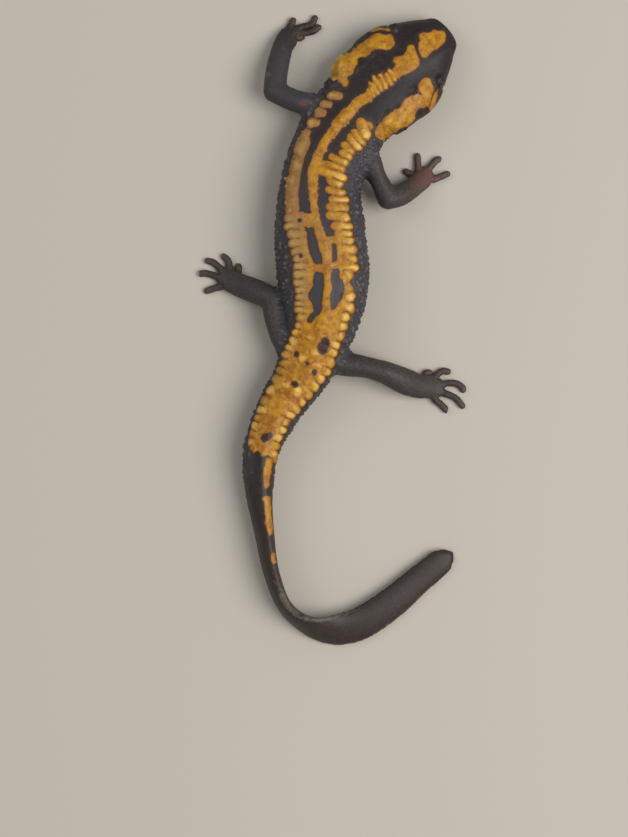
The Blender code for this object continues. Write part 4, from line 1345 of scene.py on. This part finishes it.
# %% Yellow
warm = paint.noise(at, 0.5, 2) * 1.7 + mid * 1.3 + broad * 0.5 + fine * 0.5
warm = (warm + paint.stored("rump") * 0.12 + 0.42).step(0.05, 0.95)
gold = paint.mix(warm, YELLOW_MAIN, YELLOW_DEEP)
on_knob = paint.stored("knob") + fine * 0.7 + mid * 0.5
# Painted highlight: the tops of knobs and glands go to the lightest yellow.
gold = paint.mix(on_knob.step(0.35, 1.0) * 0.85, gold, YELLOW_HIGHLIGHT)
# Partly painted glare: the left row's yellow goes paler and tan.
gold = paint.mix(paint.stored("pale") * 0.55, gold, YELLOW_PALE_GLARE)
# Painted shade: the yellow goes darker orange within 0.65 mm of its edge, where the bars slope
# down.
gold = paint.mix((edge * -1.0).step(-0.65, 0.0) * 0.6, gold, YELLOW_RIM_SHADE)
# Painted shade: the creases between and round the glands go dark orange brown.
gold = paint.mix((paint.stored("crease") + fine * 0.5).step(0.30, 0.95) * 0.85, gold, CREASE_SHADE)
gold = paint.mix((paint.stored("spot") + mid * 0.7 + fine * 0.4).step(-0.40, 0.25), gold, SPOT)
paint.feed("Base Color", paint.mix(edge.step(-0.14, 0.14), dark, gold))
print("nodes with the yellow:", len(paint.tree.nodes))

# %% Gloss, grain, and what the skin stands for
ROUGHNESS, DRY_COAT, WET_COAT = 0.50, 0.07, 0.45
GRAIN_DEPTH, GRAIN_STRENGTH = 0.12 * MM, 0.7

paint.feed("Roughness", (fine * 0.25 + mid * 0.15 + ROUGHNESS).limited())
wet = edge.step(-0.1, 0.2) * on_knob.step(0.3, 0.9)
paint.feed("Coat Weight", (wet * WET_COAT + broad * 0.15 + DRY_COAT).limited())
grain = paint.cells(at, 2.3) * -1.0 + paint.cells(at, 4.6) * -0.5
grain = grain * (paint.stored("rough") * 0.8 + 0.2) + fine * 0.5
paint.bump(grain, GRAIN_DEPTH, GRAIN_STRENGTH)

mesh.materials.clear()
mesh.materials.append(paint.material)
set_points(mesh, place * MM)
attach(skin, "root")
flesh = [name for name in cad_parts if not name.startswith("eye")]
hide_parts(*flesh)
print("skin stands for", len(flesh), "pieces")

# %% [markdown]
# ## The eyes
#
# A newt's eye is a ball with a slightly raised clear dome over a dark, coppery iris
# and a round pupil.  The ball could be two shells, an iris and a cornea, but at this
# size a single wet surface with the dome shaped into it shows the same glints.

# %% Eyeballs
EYE_ROWS, EYE_COLUMNS = 48, 64
POLE_RING = 0.02  # radians from a pole to the first ring
DOME_HEIGHT, DOME_EDGE = 0.09, 0.75  # mm, and radians from the pupil's middle


def eyeball(name, side):
    """A ball whose radius grows by a smooth step towards the pupil's middle."""
    look, along, up = eye_axes(side)
    polar = np.linspace(POLE_RING, np.pi - POLE_RING, EYE_ROWS)[:, None, None]
    around = (np.arange(EYE_COLUMNS) * 2 * np.pi / EYE_COLUMNS)[None, :, None]
    radius = EYE_RADIUS + DOME_HEIGHT * (1 - between(0.0, DOME_EDGE, polar))
    points = eye_centres[side] + radius * (
        np.cos(polar) * look + np.sin(polar) * (np.cos(around) * along + np.sin(around) * up))
    faces = closed_faces(EYE_ROWS, EYE_COLUMNS)
    if np.dot(np.cross(along, up), look) > 0:
        faces = [tuple(reversed(face)) for face in faces]
    mesh = mesh_of(name, points.reshape(-1, 3) * MM, faces)
    shaded_smooth(mesh)
    store(mesh, from_pupil=np.repeat(polar.ravel(), EYE_COLUMNS))
    return shown(name, mesh)


# %% The eyes' paint, and what they stand for
PUPIL = (0.002, 0.002, 0.002)
PUPIL_EDGE, IRIS_EDGE = (0.30, 0.35), (0.60, 0.74)  # radians from the pupil's middle
IRIS_DARK, IRIS_COPPER = (0.016, 0.008, 0.005), (0.060, 0.028, 0.010)
eye_paint = Paint("newt_eye", Roughness=0.35, Specular_IOR_Level=0.3, Coat_Weight=0.6,
                  Coat_Roughness=0.08)

eye_at = eye_paint.place()
spread = eye_paint.stored("from_pupil") + eye_paint.noise(eye_at, 3.0) * 0.05
iris = eye_paint.mix(eye_paint.noise(eye_at, 5.0, 4).step(-0.25, 0.3), IRIS_DARK, IRIS_COPPER)
eye_colour = eye_paint.mix(spread.step(*PUPIL_EDGE), PUPIL, iris)
eye_colour = eye_paint.mix(spread.step(*IRIS_EDGE), eye_colour, IRIS_DARK)
eye_paint.feed("Base Color", eye_colour)
for side in ("left", "right"):
    ball = eyeball("eyeball_" + side, side)
    ball.data.materials.append(eye_paint.material)
    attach(ball, "root")
    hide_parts("eye_" + side)
print("eyes made")

# %% [markdown]
# ## Floor, light and camera
#
# The model stands on a plain pale floor in soft light from large lamps: the main one
# high on its right, as a window would be, and a weaker one opposite to lighten the
# shadows.  Small bright lamps would put hard white dots on the wet skin.  The camera
# looks straight down from far enough away that the tail is not enlarged.

# %% Floor and light
FLOOR_HALF, FLOOR_LEVEL = 2.5, -0.0001  # metres; just under the model's own underside
FLOOR_COLOUR = (0.468, 0.436, 0.382)
corners = [(x * FLOOR_HALF, y * FLOOR_HALF, FLOOR_LEVEL)
           for x, y in ((-1, -1), (1, -1), (1, 1), (-1, 1))]
floor = shown("floor", mesh_of("floor", corners, [(0, 1, 2, 3)]))
floor_paint = Paint("pale_floor", Base_Color=(*FLOOR_COLOUR, 1.0), Roughness=0.6)
floor.data.materials.append(floor_paint.material)


def soft_light(name, place, size, power, colour):
    """A round lamp of this size at this place, in metres, turned to the model."""
    light = bpy.data.lights.new(name, "AREA")
    light.shape = "DISK"
    light.size = size
    light.energy = power
    light.color = colour
    made = shown(name, light)
    made.location = place
    made.rotation_euler = Vector(place).to_track_quat("Z", "Y").to_euler()


soft_light("window", place=(0.80, -0.15, 1.00), size=1.0, power=15.0, colour=(1.0, 0.98, 0.95))
soft_light("opposite", place=(-0.9, 0.4, 0.9), size=0.8, power=3.2, colour=(0.95, 0.98, 1.0))

SKY_COLOUR, SKY_STRENGTH = (0.80, 0.80, 0.78), 0.48
world = bpy.data.worlds.new("studio")
world.use_nodes = True
sky = world.node_tree.nodes["Background"]
sky.inputs["Color"].default_value = (*SKY_COLOUR, 1)
sky.inputs["Strength"].default_value = SKY_STRENGTH
bpy.context.scene.world = world
bpy.context.scene.view_settings.view_transform = "Standard"
print("lamps and sky ready")

# %% Camera
CAMERA_PLACE = (-0.00439, -0.02220, 0.605)  # metres
FRAME_HEIGHT, FRAME_DISTANCE = 209.25, 600.0  # mm seen from top to bottom, and from where
FILM_HEIGHT = 24.0  # mm

camera = shown("camera", bpy.data.cameras.new("camera"))
camera.location = CAMERA_PLACE
camera.data.sensor_fit = "VERTICAL"
camera.data.sensor_height = FILM_HEIGHT
camera.data.lens = FILM_HEIGHT * FRAME_DISTANCE / FRAME_HEIGHT
camera.data.clip_start = 0.01
bpy.context.scene.camera = camera
print("lens:", round(camera.data.lens, 1), "mm")
